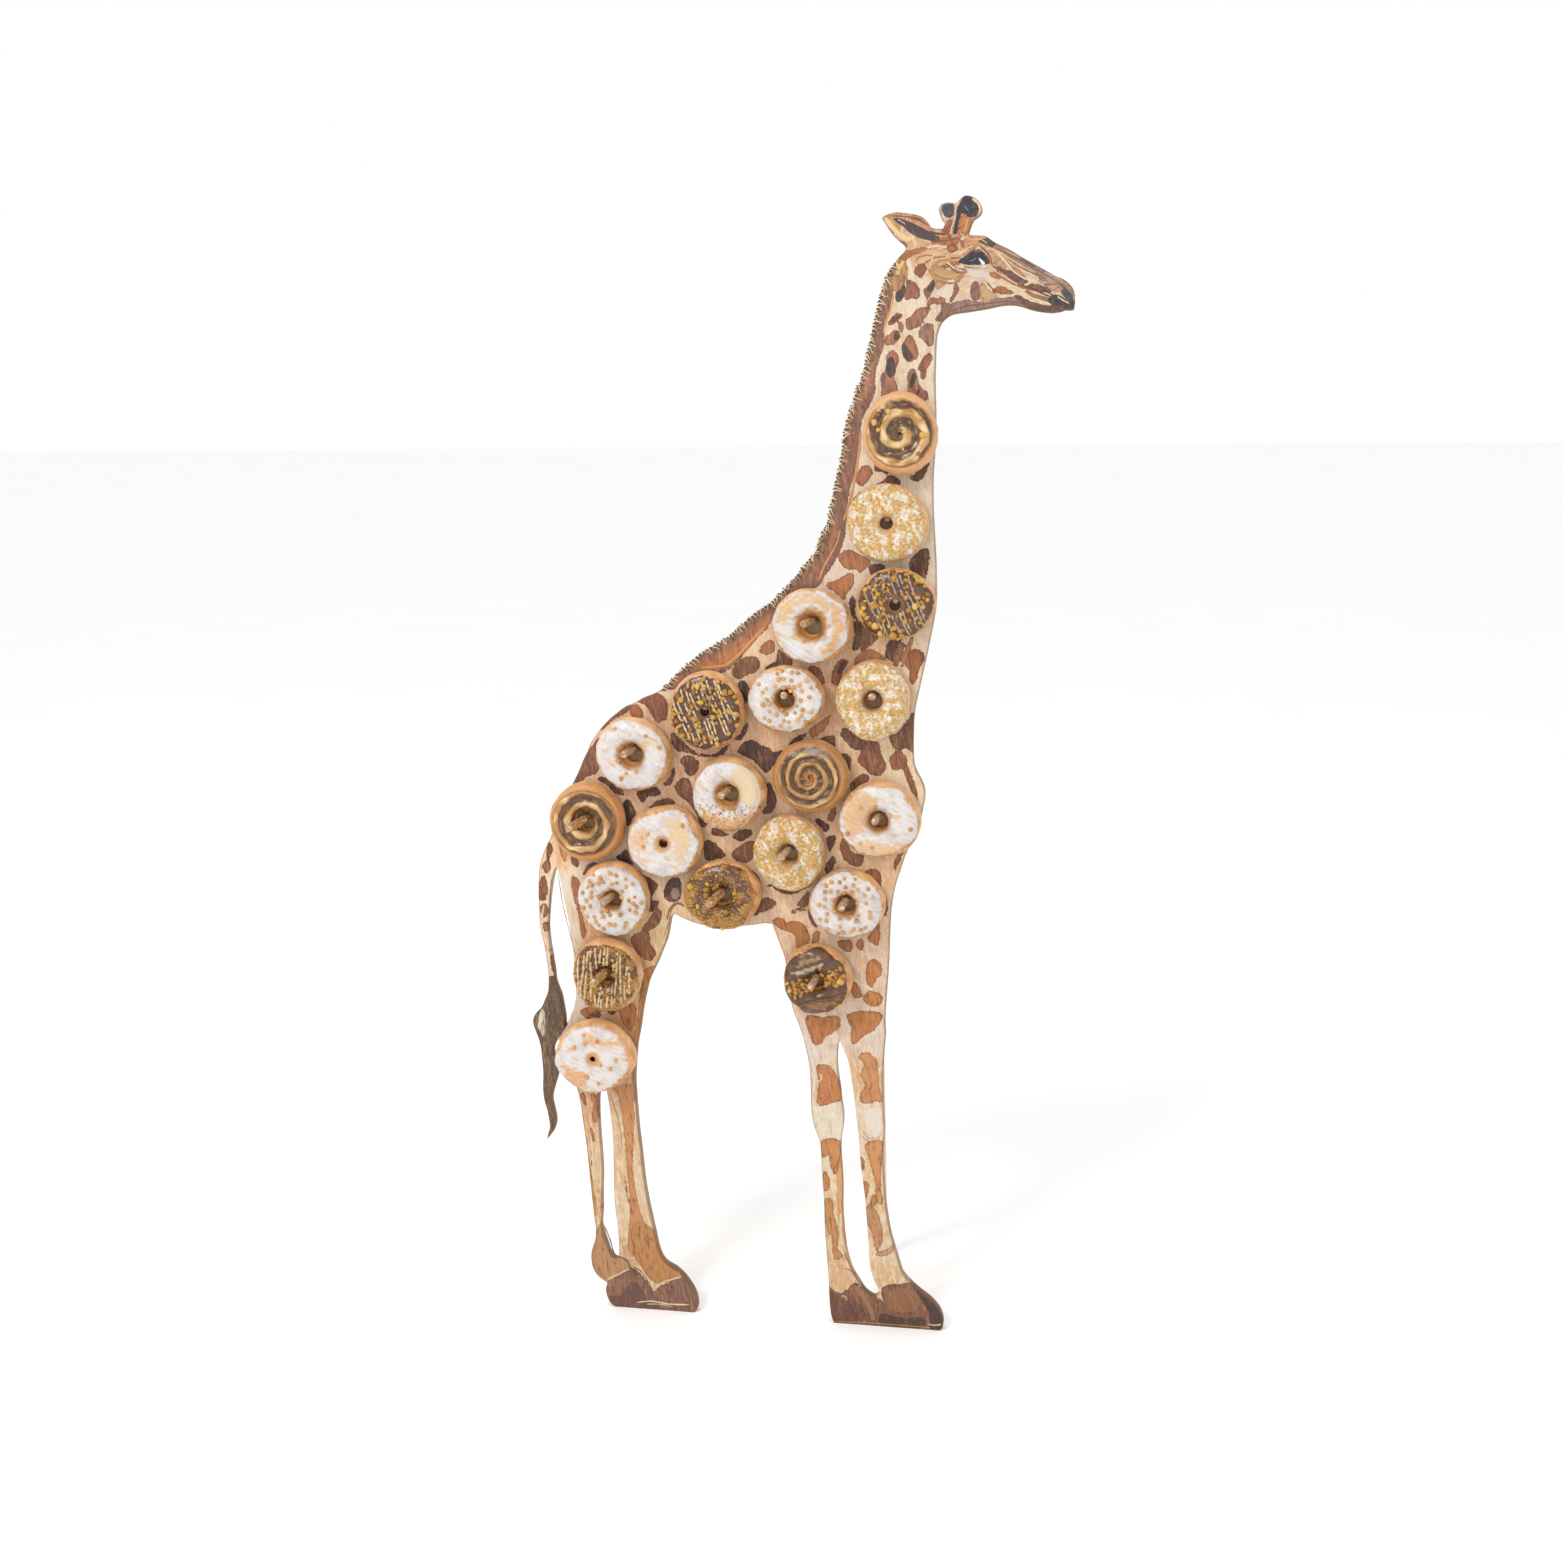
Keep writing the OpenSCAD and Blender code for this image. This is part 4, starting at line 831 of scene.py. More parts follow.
# Strokes: colour, width at the start, width at the end, points.
DARK_STROKES = [
    ("8a5434", 1.6, 1.2, (103, 1206), (118, 1205), (132, 1203), (143, 1196)),
    ("a0643c", 1.6, 1.4, (97, 1200), (107, 1188), (119, 1179)),
    ("6e5548", 3.6, 2.4, (207, 1177), (228, 1168), (250, 1156), (270, 1145), (285, 1138)),
    ("a48678", 2.6, 1.6, (218, 1165), (236, 1157), (256, 1146), (276, 1136)),
    ("6e4c40", 2.4, 1.2, (237, 1160), (244, 1157), (252, 1152)),
    ("b06c3c", 1.6, 1.0, (214, 1172), (222, 1166), (230, 1157), (238, 1148), (244, 1140)),
    ("a4683c", 2.0, 1.2, (218, 1143), (230, 1136), (242, 1131), (256, 1127), (266, 1122)),
    ("9a5c34", 2.4, 1.4, (166, 1162), (174, 1163), (181, 1166), (188, 1171)),
    ("8a5a3c", 2.2, 1.4, (196, 1174), (202, 1169), (207, 1162), (209, 1155)),
    ("a9764c", 2.6, 1.6, (152, 1141), (162, 1138), (172, 1138), (181, 1145)),
    ("b08a72", 3.0, 1.8, (172, 1152), (178, 1149), (184, 1151)),
    ("8a5c38", 1.8, 1.2, (204, 1138), (210, 1131), (220, 1125)),
    ("9c6a44", 2.2, 1.2, (140, 1158), (150, 1163), (162, 1164)),
    ("8a4f34", 2.6, 1.4, (166, 1180), (172, 1182), (178, 1178), (180, 1172)),
    ("7c4c38", 1.2, 0.8, (150, 1101), (170, 1104), (196, 1107), (214, 1107)),
    ("3a302c", 1.2, 1.6, (262, 1129), (270, 1124), (277, 1119)),
    ("2c2c33", 1.0, 0.6, (186, 1165), (190, 1170), (192, 1172)),
    ("7a4a2c", 2.0, 1.2, (124, 1204), (136, 1200), (146, 1193)),
    ("5c3826", 2.6, 1.6, (144, 1189), (153, 1187), (162, 1186)),
    ("8a5230", 3.4, 2.0, (162, 1191), (166, 1182), (171, 1172)),
    ("a86c40", 3.0, 2.2, (173, 1176), (175, 1182), (178, 1188)),
    ("7e5030", 2.0, 1.2, (150, 1183), (156, 1180), (163, 1180)),
    ("9c6238", 2.6, 1.6, (113, 1158), (118, 1165), (127, 1170)),
    ("b98652", 2.4, 1.4, (149, 1154), (156, 1160), (166, 1160), (174, 1155)),
    ("b07c4c", 2.2, 1.4, (148, 1147), (158, 1143), (168, 1141)),
    ("a87648", 2.0, 1.0, (132, 1163), (142, 1166), (152, 1164)),
    ("4a3428", 1.6, 1.0, (178, 1160), (185, 1167), (194, 1170), (202, 1165), (207, 1157)),
    ("6a4a3a", 1.2, 0.8, (180, 1154), (190, 1152), (202, 1152)),
    ("7d6350", 1.8, 1.2, (212, 1171), (230, 1162), (251, 1151), (272, 1139)),
    ("8a6a56", 1.6, 1.0, (222, 1161), (240, 1153), (262, 1142)),
    ("96705a", 1.4, 1.0, (234, 1154), (250, 1146), (266, 1137)),
    ("5c463c", 1.6, 1.0, (272, 1136), (280, 1133), (286, 1128)),
    ("4a332a", 1.8, 1.2, (246, 1132), (256, 1128), (264, 1124), (277, 1119)),
    ("6d4c44", 1.4, 1.0, (168, 1109), (182, 1114), (200, 1116), (228, 1118), (244, 1114)),
    ("5a4038", 1.6, 1.4, (240, 1114), (254, 1111), (268, 1110), (278, 1111)),
    ("86604e", 2.0, 1.0, (180, 1117), (200, 1113), (222, 1115)),
    ("6a4a3e", 0.8, 0.5, (250, 1145), (256, 1139), (262, 1134), (268, 1129)),
    ("5f4438", 1.2, 0.8, (262, 1134), (274, 1134), (278, 1130)),
    ("4a3628", 1.4, 1.4, (-215, 98), (-208, 80), (-203, 64), (-190, 58), (-184, 48)),
    ("5a3a30", 1.4, 1.2, (-181, 50), (-170, 43), (-159, 22)),
    ("6a4632", 1.0, 1.6, (-170, 190), (-164, 145), (-156, 100), (-148, 68), (-136, 56)),
    ("7d5a44", 1.2, 0.8, (-121, 478), (-128, 475), (-133, 468), (-136, 455), (-142, 438)),
    ("93694f", 2.6, 2.2, (-118, 474), (-126, 477), (-134, 471), (-138, 458)),
    ("5a4638", 1.0, 0.8, (60, 92), (72, 62), (88, 40), (100, 34)),
    ("5a4638", 0.8, 0.6, (62, 66), (76, 60), (84, 48)),
    ("3f342c", 1.0, 0.8, (128, 66), (138, 55), (150, 47)),
    ("7a5a42", 0.8, 0.8, (-270, 500), (-272, 470), (-273, 440), (-268, 410)),
    ("4c3d31", 1.2, 0.6, (-285, 362), (-291, 345), (-296, 335), (-290, 318)),
    ("9a6a48", 0.9, 0.6, (-262, 505), (-257, 470), (-249, 435), (-243, 412)),
    ("a87c58", 0.9, 0.7, (80, 222), (86, 217), (95, 216), (102, 220)),
    ("8c5a34", 1.0, 0.8, (-205, 250), (-196, 222), (-192, 190)),
]

LIGHT_STROKES = [
    ("d99a5e", 2.6, 3.4, (75, 990), (73, 965), (70, 945), (66, 925), (61, 905), (57, 896)),
    ("dd9e62", 1.4, 2.4, (54, 888), (51, 874), (44, 861), (36, 846), (31, 832)),
    ("e29a5a", 4.0, 3.0, (-98, 738), (-72, 741), (-56, 753), (-42, 768), (-26, 784)),
    ("d99a66", 2.4, 1.6, (108, 1126), (105, 1112), (100, 1098), (98, 1088)),
    ("ecd8c4", 2.0, 1.2, (214, 1167), (222, 1159), (230, 1149), (240, 1142), (250, 1139)),
    ("b9988a", 2.6, 1.6, (264, 1140), (272, 1136), (280, 1131)),
    ("ead0ae", 1.6, 1.0, (168, 1167), (176, 1168), (184, 1172), (190, 1174)),
    ("e6d6cc", 2.4, 1.4, (184, 1147), (192, 1144), (200, 1144), (206, 1148)),
    ("ead6bc", 1.6, 1.0, (212, 1139), (222, 1135), (234, 1128), (246, 1124)),
    ("d8aa72", 1.8, 1.0, (156, 1145), (166, 1144), (176, 1147)),
    ("e4c092", 1.4, 0.8, (190, 1182), (198, 1180), (204, 1176)),
    ("e3b07c", 1.8, 1.4, (211, 1168), (221, 1164), (228, 1156), (238, 1149), (244, 1142)),
    ("e8d0ae", 2.4, 2.0, (224, 1134), (236, 1131), (248, 1122), (262, 1117), (270, 1114)),
    ("e9cfae", 1.6, 2.4, (236, 1150), (246, 1146), (256, 1140), (248, 1136), (242, 1134)),
    ("f0dcc0", 1.6, 1.0, (163, 1159), (170, 1153), (180, 1149)),
    ("e4ceb0", 1.8, 1.2, (150, 1168), (147, 1160), (145, 1152)),
    ("e2c49a", 2.0, 1.4, (134, 1158), (144, 1162), (156, 1168)),
    ("cdbfb4", 2.2, 1.4, (182, 1152), (191, 1151), (202, 1152)),
    ("e8c9a0", 1.8, 1.2, (209, 1171), (222, 1164), (236, 1155), (253, 1146)),
    ("d9b690", 1.4, 0.8, (222, 1169), (240, 1160), (262, 1149)),
    ("c9a488", 1.6, 1.0, (262, 1146), (276, 1140), (286, 1133)),
    ("dcb088", 2.0, 1.4, (176, 1187), (186, 1181), (197, 1180)),
    ("d0a070", 2.4, 1.4, (182, 1176), (192, 1177), (202, 1174)),
    ("e0a768", 2.0, 1.4, (164, 1166), (172, 1164), (181, 1165), (187, 1170)),
    ("ecd5b6", 2.2, 1.6, (142, 1173), (152, 1175), (163, 1173)),
    ("e2d2b8", 1.0, 1.2, (171, 1214), (171, 1205), (168, 1195), (166, 1187)),
    ("b8b2a4", 0.9, 0.9, (169, 1217), (160, 1217), (155, 1211), (157, 1204), (161, 1199)),
    ("e6dcc6", 1.4, 1.0, (158, 1206), (160, 1201), (162, 1197)),
    ("dda46c", 2.4, 1.4, (184, 1201), (182, 1194), (180, 1187)),
    ("d9d4cc", 1.0, 0.6, (112, 1202), (116, 1200), (120, 1197)),
    ("8d97a4", 1.0, 0.6, (181, 1214), (182, 1211), (185, 1209)),
    ("9fb0c0", 0.5, 0.4, (186, 1159), (190, 1160), (193, 1162)),
    ("e8d2b0", 1.6, 1.2, (276, 1122), (282, 1118), (288, 1115)),
    ("e0a872", 1.0, 1.0, (280, 1108), (284, 1108), (287, 1107)),
    ("e8d6b4", 2.6, 2.0, (-229, 200), (-227, 175), (-226, 150)),
    ("ead8ba", 1.8, 1.2, (-178, 247), (-177, 235), (-175, 220)),
    ("e6caa0", 1.8, 1.6, (-212, 33), (-197, 41), (-186, 47)),
    ("e6caa0", 1.8, 1.8, (-180, 52), (-172, 47), (-164, 36), (-158, 27)),
    ("e6caa0", 1.8, 1.8, (-158, 26), (-146, 34), (-136, 38), (-125, 42)),
    ("ecdaae", 1.2, 2.0, (-178, 7), (-160, 10), (-140, 8), (-116, 9)),
    ("ecdaae", 1.0, 0.6, (-166, 6), (-150, 7), (-135, 5)),
    ("e0c08c", 1.0, 2.2, (156, 7), (164, 6), (173, 8)),
    ("b98f58", 0.8, 1.2, (52, 2), (90, 3), (130, 3), (160, 3)),
    ("d8a46c", 2.6, 1.0, (60, 33), (64, 32), (66, 29)),
    ("9c7050", 5.0, 6.0, (76, 44), (84, 34), (92, 20), (96, 6)),
    ("96694a", 5.0, 5.0, (128, 46), (138, 36), (144, 22)),
    ("c9a37c", 1.4, 1.0, (82, 228), (88, 220), (97, 219), (104, 226)),
    ("eadcc6", 1.6, 1.2, (33, 290), (36, 286), (33, 280)),
    ("e6d4b6", 3.0, 2.4, (58, 130), (58, 108), (62, 92)),
    ("e4d0ae", 2.0, 2.0, (47, 104), (46, 90), (52, 66)),
    ("e8dccc", 4.6, 3.2, (22, 318), (27, 300), (28, 285), (27, 265)),
    ("e6d6c0", 2.4, 3.4, (151, 1090), (151, 1060), (151, 1020)),
    ("e4cfae", 1.4, 2.2, (-276, 452), (-282, 452), (-279, 470)),
    ("dfb182", 2.4, 1.4, (118, 1170), (128, 1173), (138, 1177)),
    ("e4b98a", 1.6, 1.0, (207, 1150), (213, 1148), (222, 1142)),
]


def mark_depth(x, z, outline):
    """Distance inside a closed outline, negative outside."""
    nearest = np.full(len(x), np.inf)
    inside = np.zeros(len(x), bool)
    for (ax, az), (bx, bz) in zip(outline, np.roll(outline, -1, 0)):
        dx, dz = bx - ax, bz - az
        t = np.clip(((x - ax) * dx + (z - az) * dz) / (dx * dx + dz * dz + 1e-9), 0, 1)
        nearest = np.minimum(nearest, np.hypot(x - ax - t * dx, z - az - t * dz))
        if dz:
            inside ^= ((az > z) != (bz > z)) & (x < ax + (z - az) * dx / dz)
    return np.where(inside, nearest, -nearest)


class PaintLayer:
    """For each point, how far it lies inside the layer's nearest mark, and that mark's colour."""
    FAR = 14

    def __init__(self, x, z):
        self.x, self.z = x, z
        self.depth = np.full(len(x), -float(self.FAR))
        self.tint = np.full((len(x), 3), 0.5)

    def lay(self, line, colour, measure):
        low, high = line.min(axis=0) - self.FAR, line.max(axis=0) + self.FAR
        near = np.nonzero((self.x > low[0]) & (self.x < high[0]) & (self.z > low[1])
                          & (self.z < high[1]))[0]
        depth = measure(self.x[near], self.z[near])
        # A later mark covers an earlier one; outside both, the nearer one gives the colour.
        wins = (depth > 0) | (depth > self.depth[near])
        self.depth[near[wins]] = depth[wins]
        self.tint[near[wins]] = colour

    def area(self, code, *points):
        line = curve_through(points)
        self.lay(line, tone(code), lambda x, z: mark_depth(x, z, line))


WASH_BLUR = 30          # softens the wash close to a swatch, in square drawing units
WASH_FALL = 1.8         # how fast a swatch's share falls with the square of the distance


def washed(x, z):
    """The wash colour at each point: near swatches count most."""
    total = np.zeros((len(x), 3))
    weight = np.zeros(len(x))
    for code, at_x, at_z in WASH:
        w = 1 / ((x - at_x) ** 2 + (z - at_z) ** 2 + WASH_BLUR) ** WASH_FALL
        total += w[:, None] * tone(code)
        weight += w
    return total / weight[:, None]


def paint_layers(x, z):
    """The board's four layers of marks, from the broad areas to the highlights."""
    layers = [PaintLayer(x, z) for _ in range(4)]
    for layer, marks in zip(layers, (MANE_AREA + BROAD, PATCHES, DARKS, LIGHTS)):
        for code, *points in marks:
            layer.area(code, *points)
    return layers


STROKE_SIDES = 8


def lay_stroke(shape, code, first, last, points, thick, within=None):
    """A raised stroke of paint on the face; widths are in drawing units, thickness in mm."""
    line = curve_through(points, closed=False, pieces=5)
    if within is not None:
        line = line[mark_depth(line[:, 0], line[:, 1], within) > max(first, last) / 2 + 0.3]
    count = len(line)
    if count < 5:
        return
    t = np.arange(count) / (count - 1)
    ragged = 1 + 0.18 * np.sin(t * count * 1.7 + line[0, 0])
    wide = (first + (last - first) * t) / 2 * ragged * np.clip(np.minimum(t, 1 - t) * 9 + 0.25, 0, 1)
    way = np.gradient(line, axis=0)
    way /= np.linalg.norm(way, axis=1)[:, None]
    turn = np.arange(STROKE_SIDES) * math.tau / STROKE_SIDES
    across = np.cos(turn)[None, :] * wide[:, None]
    x = line[:, :1] - way[:, 1:] * across
    z = line[:, 1:] + way[:, :1] * across
    out = np.broadcast_to(np.sin(turn) * thick, x.shape)
    verts = world_array(x, z, out).reshape(-1, 3)
    shape.add_tube(verts, *tube_faces(count, STROKE_SIDES), tone(code))


BRISTLE_GAP = 1.4       # mane bristles along the outline, in drawing units
DARK_BRISTLES = ["4a3428", "2f2723"]
PALE_BRISTLES = ["f8eac0", "eedba8", "dcbc86"]
TAIL_STRANDS = 46
TAIL_CODES = ["8d7a62", "3c322b", "2e2824", "78654f"]


def on_mane(x, z):
    """True on the stretch of the outline behind the neck and above the shoulder."""
    return x < 121 and 716 < z < 1160 and x < 40 + (z - 850) * 0.3


def mane_bristles(shape, outer, rng):
    """Short strokes, dark and pale by turns, that cross the mane's outline."""
    gone, dark = 0.0, False
    for here, ahead in zip(outer, np.roll(outer, -1, 0)):
        if not on_mane(*here):
            continue
        step = np.linalg.norm(ahead - here)
        gone += step
        if gone < BRISTLE_GAP:
            continue
        gone, dark = 0.0, not dark
        way = (ahead - here) / step
        inward = np.array([-way[1], way[0]]) + way * rng.uniform(-0.7, 0.5)
        start, tip = here - inward * rng.uniform(0.6, 2.4), here + inward * rng.uniform(2.5, 8)
        middle = (start + tip) / 2 + rng.uniform(-0.5, 0.5, 2)
        code = rng.choice(DARK_BRISTLES if dark else PALE_BRISTLES)
        lay_stroke(shape, code, rng.uniform(1.6, 2.4) - 0.5 * (not dark), 0.6,
                   [start, middle, tip], rng.uniform(0.15, 0.25) if dark else 0.4)


def tail_strands(shape, outer, rng):
    """Thin hairs down the tail's tuft."""
    for _ in range(TAIL_STRANDS):
        top = np.array([rng.uniform(-288, -262), rng.uniform(215, 372)])
        drop = rng.uniform(14, 40)
        path = [top, top + (rng.uniform(-3, 2), -drop / 2), top + (rng.uniform(-5, 3), -drop)]
        lay_stroke(shape, rng.choice(TAIL_CODES), 1.1, 0.4, path, 0.12, outer)


def raised_strokes(outer):
    """Fine lines, highlights, the mane's bristles and the tail's strands."""
    shape = Shape()
    for strokes, thick in ((DARK_STROKES, 0.11), (LIGHT_STROKES, 0.13)):
        for code, first, last, *points in strokes:
            lay_stroke(shape, code, first, last, points, thick, outer)
    rng = np.random.default_rng(SEED)
    mane_bristles(shape, outer, rng)
    tail_strands(shape, outer, rng)
    piece = shape.make("paint_strokes", stroke_paint(), "board")


def stroke_paint():
    s = Shader("stroke_paint")
    fine = s.noise(1800, 3)
    tint = s.attribute("tint", "Color")
    colour = s.mix(s.ease(fine, 0.35, 0.6, 0.3, 0.0), tint, (0.16, 0.08, 0.04))
    return s.finish(colour, s.ease(fine, 0.3, 0.7, 0.45, 0.65), s.bump(fine, 0.2, 0.0002))


def painted_plywood():
    """Washes and brush marks on the face and edge, bare veneer on the back."""
    s = Shader("painted_plywood")
    down = s.noise(330, 5, s.brushed(8, 0.16), 0.7, 0.8)
    along = s.noise(420, 5, s.brushed(-58, 0.16), 0.7, 0.8)
    head = s.attribute("head")
    brush = s.math("ADD", s.math("MULTIPLY", down, s.math("SUBTRACT", 1.0, head)),
                   s.math("MULTIPLY", along, head))
    cloud = s.noise(75, 4, None, 0.6, 0.8)
    blot = s.noise(190, 5, None, 0.65, 1.0)
    fine = s.noise(1500, 4, None, 0.6)
    wander = s.math("MULTIPLY", s.math("SUBTRACT", s.noise(230, 6, None, 0.68, 0.4), 0.5), 6.0)

    colour = s.attribute("wash", "Color")
    colour = s.mix(s.ease(cloud, 0.50, 0.62, 0.0, 0.45), colour, s.chart("f0dcbc"))
    colour = s.mix(s.ease(cloud, 0.46, 0.34, 0.0, 0.35), colour, s.chart("dca070"))
    colour = s.mix(s.ease(brush, 0.51, 0.62, 0.0, 0.55), colour, s.chart("f2e2c8"))
    colour = s.mix(s.ease(brush, 0.49, 0.38, 0.0, 0.36), colour, s.chart("c08450"))
    height = s.math("MULTIPLY", brush, 0.6)
    for name, rim, variation in (("broad", 0.30, 0.6), ("patches", 0.45, 0.6),
                                 ("darks", 0.15, 0.25), ("lights", 0.0, 0.15)):
        shake = 0.35 if name in ("lights", "darks") else 1.0
        depth = s.math("ADD", s.attribute(name + "_depth"), s.math("MULTIPLY", wander, shake))
        worn = s.attribute(name + "_tint", "Color")
        worn = s.mix(s.ease(blot, 0.50, 0.74, 0.0, variation * 0.7), worn, s.chart("c98a5c"))
        worn = s.mix(s.ease(brush, 0.51, 0.63, 0.0, variation * 0.6), worn, s.chart("d3a076"))
        worn = s.mix(s.ease(brush, 0.49, 0.36, 0.0, variation), worn, s.chart("3a241a"))
        if rim:
            worn = s.mix(s.ease(depth, 0.3, 2.2, rim, 0.0), worn, s.chart("4a2c1e"))
        cover = s.ease(depth, -0.25, 0.45)
        colour = s.mix(cover, colour, worn)
        height = s.math("ADD", height, s.math("MULTIPLY", cover, 0.4))

    rim = s.math("ADD", s.attribute("rim"), s.math("MULTIPLY", wander, 0.4))
    colour = s.mix(s.ease(rim, 0.2, 2.0, 0.5, 0.0), colour, s.chart("7a5236"))
    colour = s.mix(s.ease(fine, 0.62, 0.72, 0.0, 0.25), colour, s.chart("6a452e"))

    # The paint wraps the edge; the back and its last ply are bare wood with dark glue lines.
    depth = s.attribute("depth")
    colour = s.mix(s.ease(depth, 0.1, 0.5, 0.0, 0.30), colour, s.chart("8a6a50"))
    grain = s.noise(90, 5, s.stretch(1, 1, 0.06), 0.6, 1.2)
    back = s.mix(s.ease(grain, 0.35, 0.65), s.chart("c9a070"), s.chart("e2c296"))
    bare = s.ease(s.math("ADD", depth, s.math("MULTIPLY", wander, 0.15)), 9.6, 9.9)
    colour = s.mix(bare, colour, back)
    glue = s.math("MULTIPLY", s.ease(depth, 9.5, 9.8), s.ease(depth, 10.1, 10.4, 1.0, 0.0))
    colour = s.mix(s.math("MULTIPLY", glue, 0.6), colour, s.chart("6a4630"))
    height = s.math("ADD", height, s.math("MULTIPLY", fine, 0.3))
    rough = s.ease(brush, 0.3, 0.7, 0.50, 0.68)
    return s.finish(colour, rough, s.bump(height, 0.4, 0.0004), specular_ior_level=0.4)


def make_board():
    x, z, depth, faces, outer = board_mesh()
    shape = Shape()
    shape.add(world_array(x, z, -depth), faces, (0.7, 0.6, 0.5))
    piece = shape.make("painted_board", painted_plywood(), "board")
    mesh = piece.data
    for name, layer in zip(("broad", "patches", "darks", "lights"), paint_layers(x, z)):
        set_number(mesh, name + "_depth", layer.depth)
        set_colour(mesh, name + "_tint", layer.tint)
    # The rings shade the body, so its wash is painted paler there, as painted light that offsets that
    # shade, and deeper on the legs.
    lightened_among_rings = smoothstep(380, 520, z) * smoothstep(1050, 990, z)
    set_colour(mesh, "wash", washed(x, z) * (0.92 + 0.24 * lightened_among_rings)[:, None])
    set_number(mesh, "depth", depth)
    set_number(mesh, "rim", mark_depth(x, z, outer[::2]))
    set_number(mesh, "head", smoothstep(0, 30, np.minimum(z - 1110, x - 125)))
    mesh.set_sharp_from_angle(angle=math.radians(50))
    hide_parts("board")
    raised_strokes(outer)


# ---------------------------------------------------------------- doughnuts
# Sizes are in mm from the middle of a ring: u across, v up, c out of the painted face.
ROWS, COLS = 112, 216
BORE = 9.6          # radius of the hole the peg goes through
BLIND = 0.5         # mouth of a swirl that closes over its middle
BACK_LIMIT = -16.4  # how far back and forward the dough and icing may reach
FRONT_LIMIT = 19.5
DOUGH_GLOSS = 0.35
CRUSTED_PEGS = (12, 15, 18)
PEG_CRUMBS = 90
PEG_CODES = ["c9923a", "dcae58", "a8742e"]
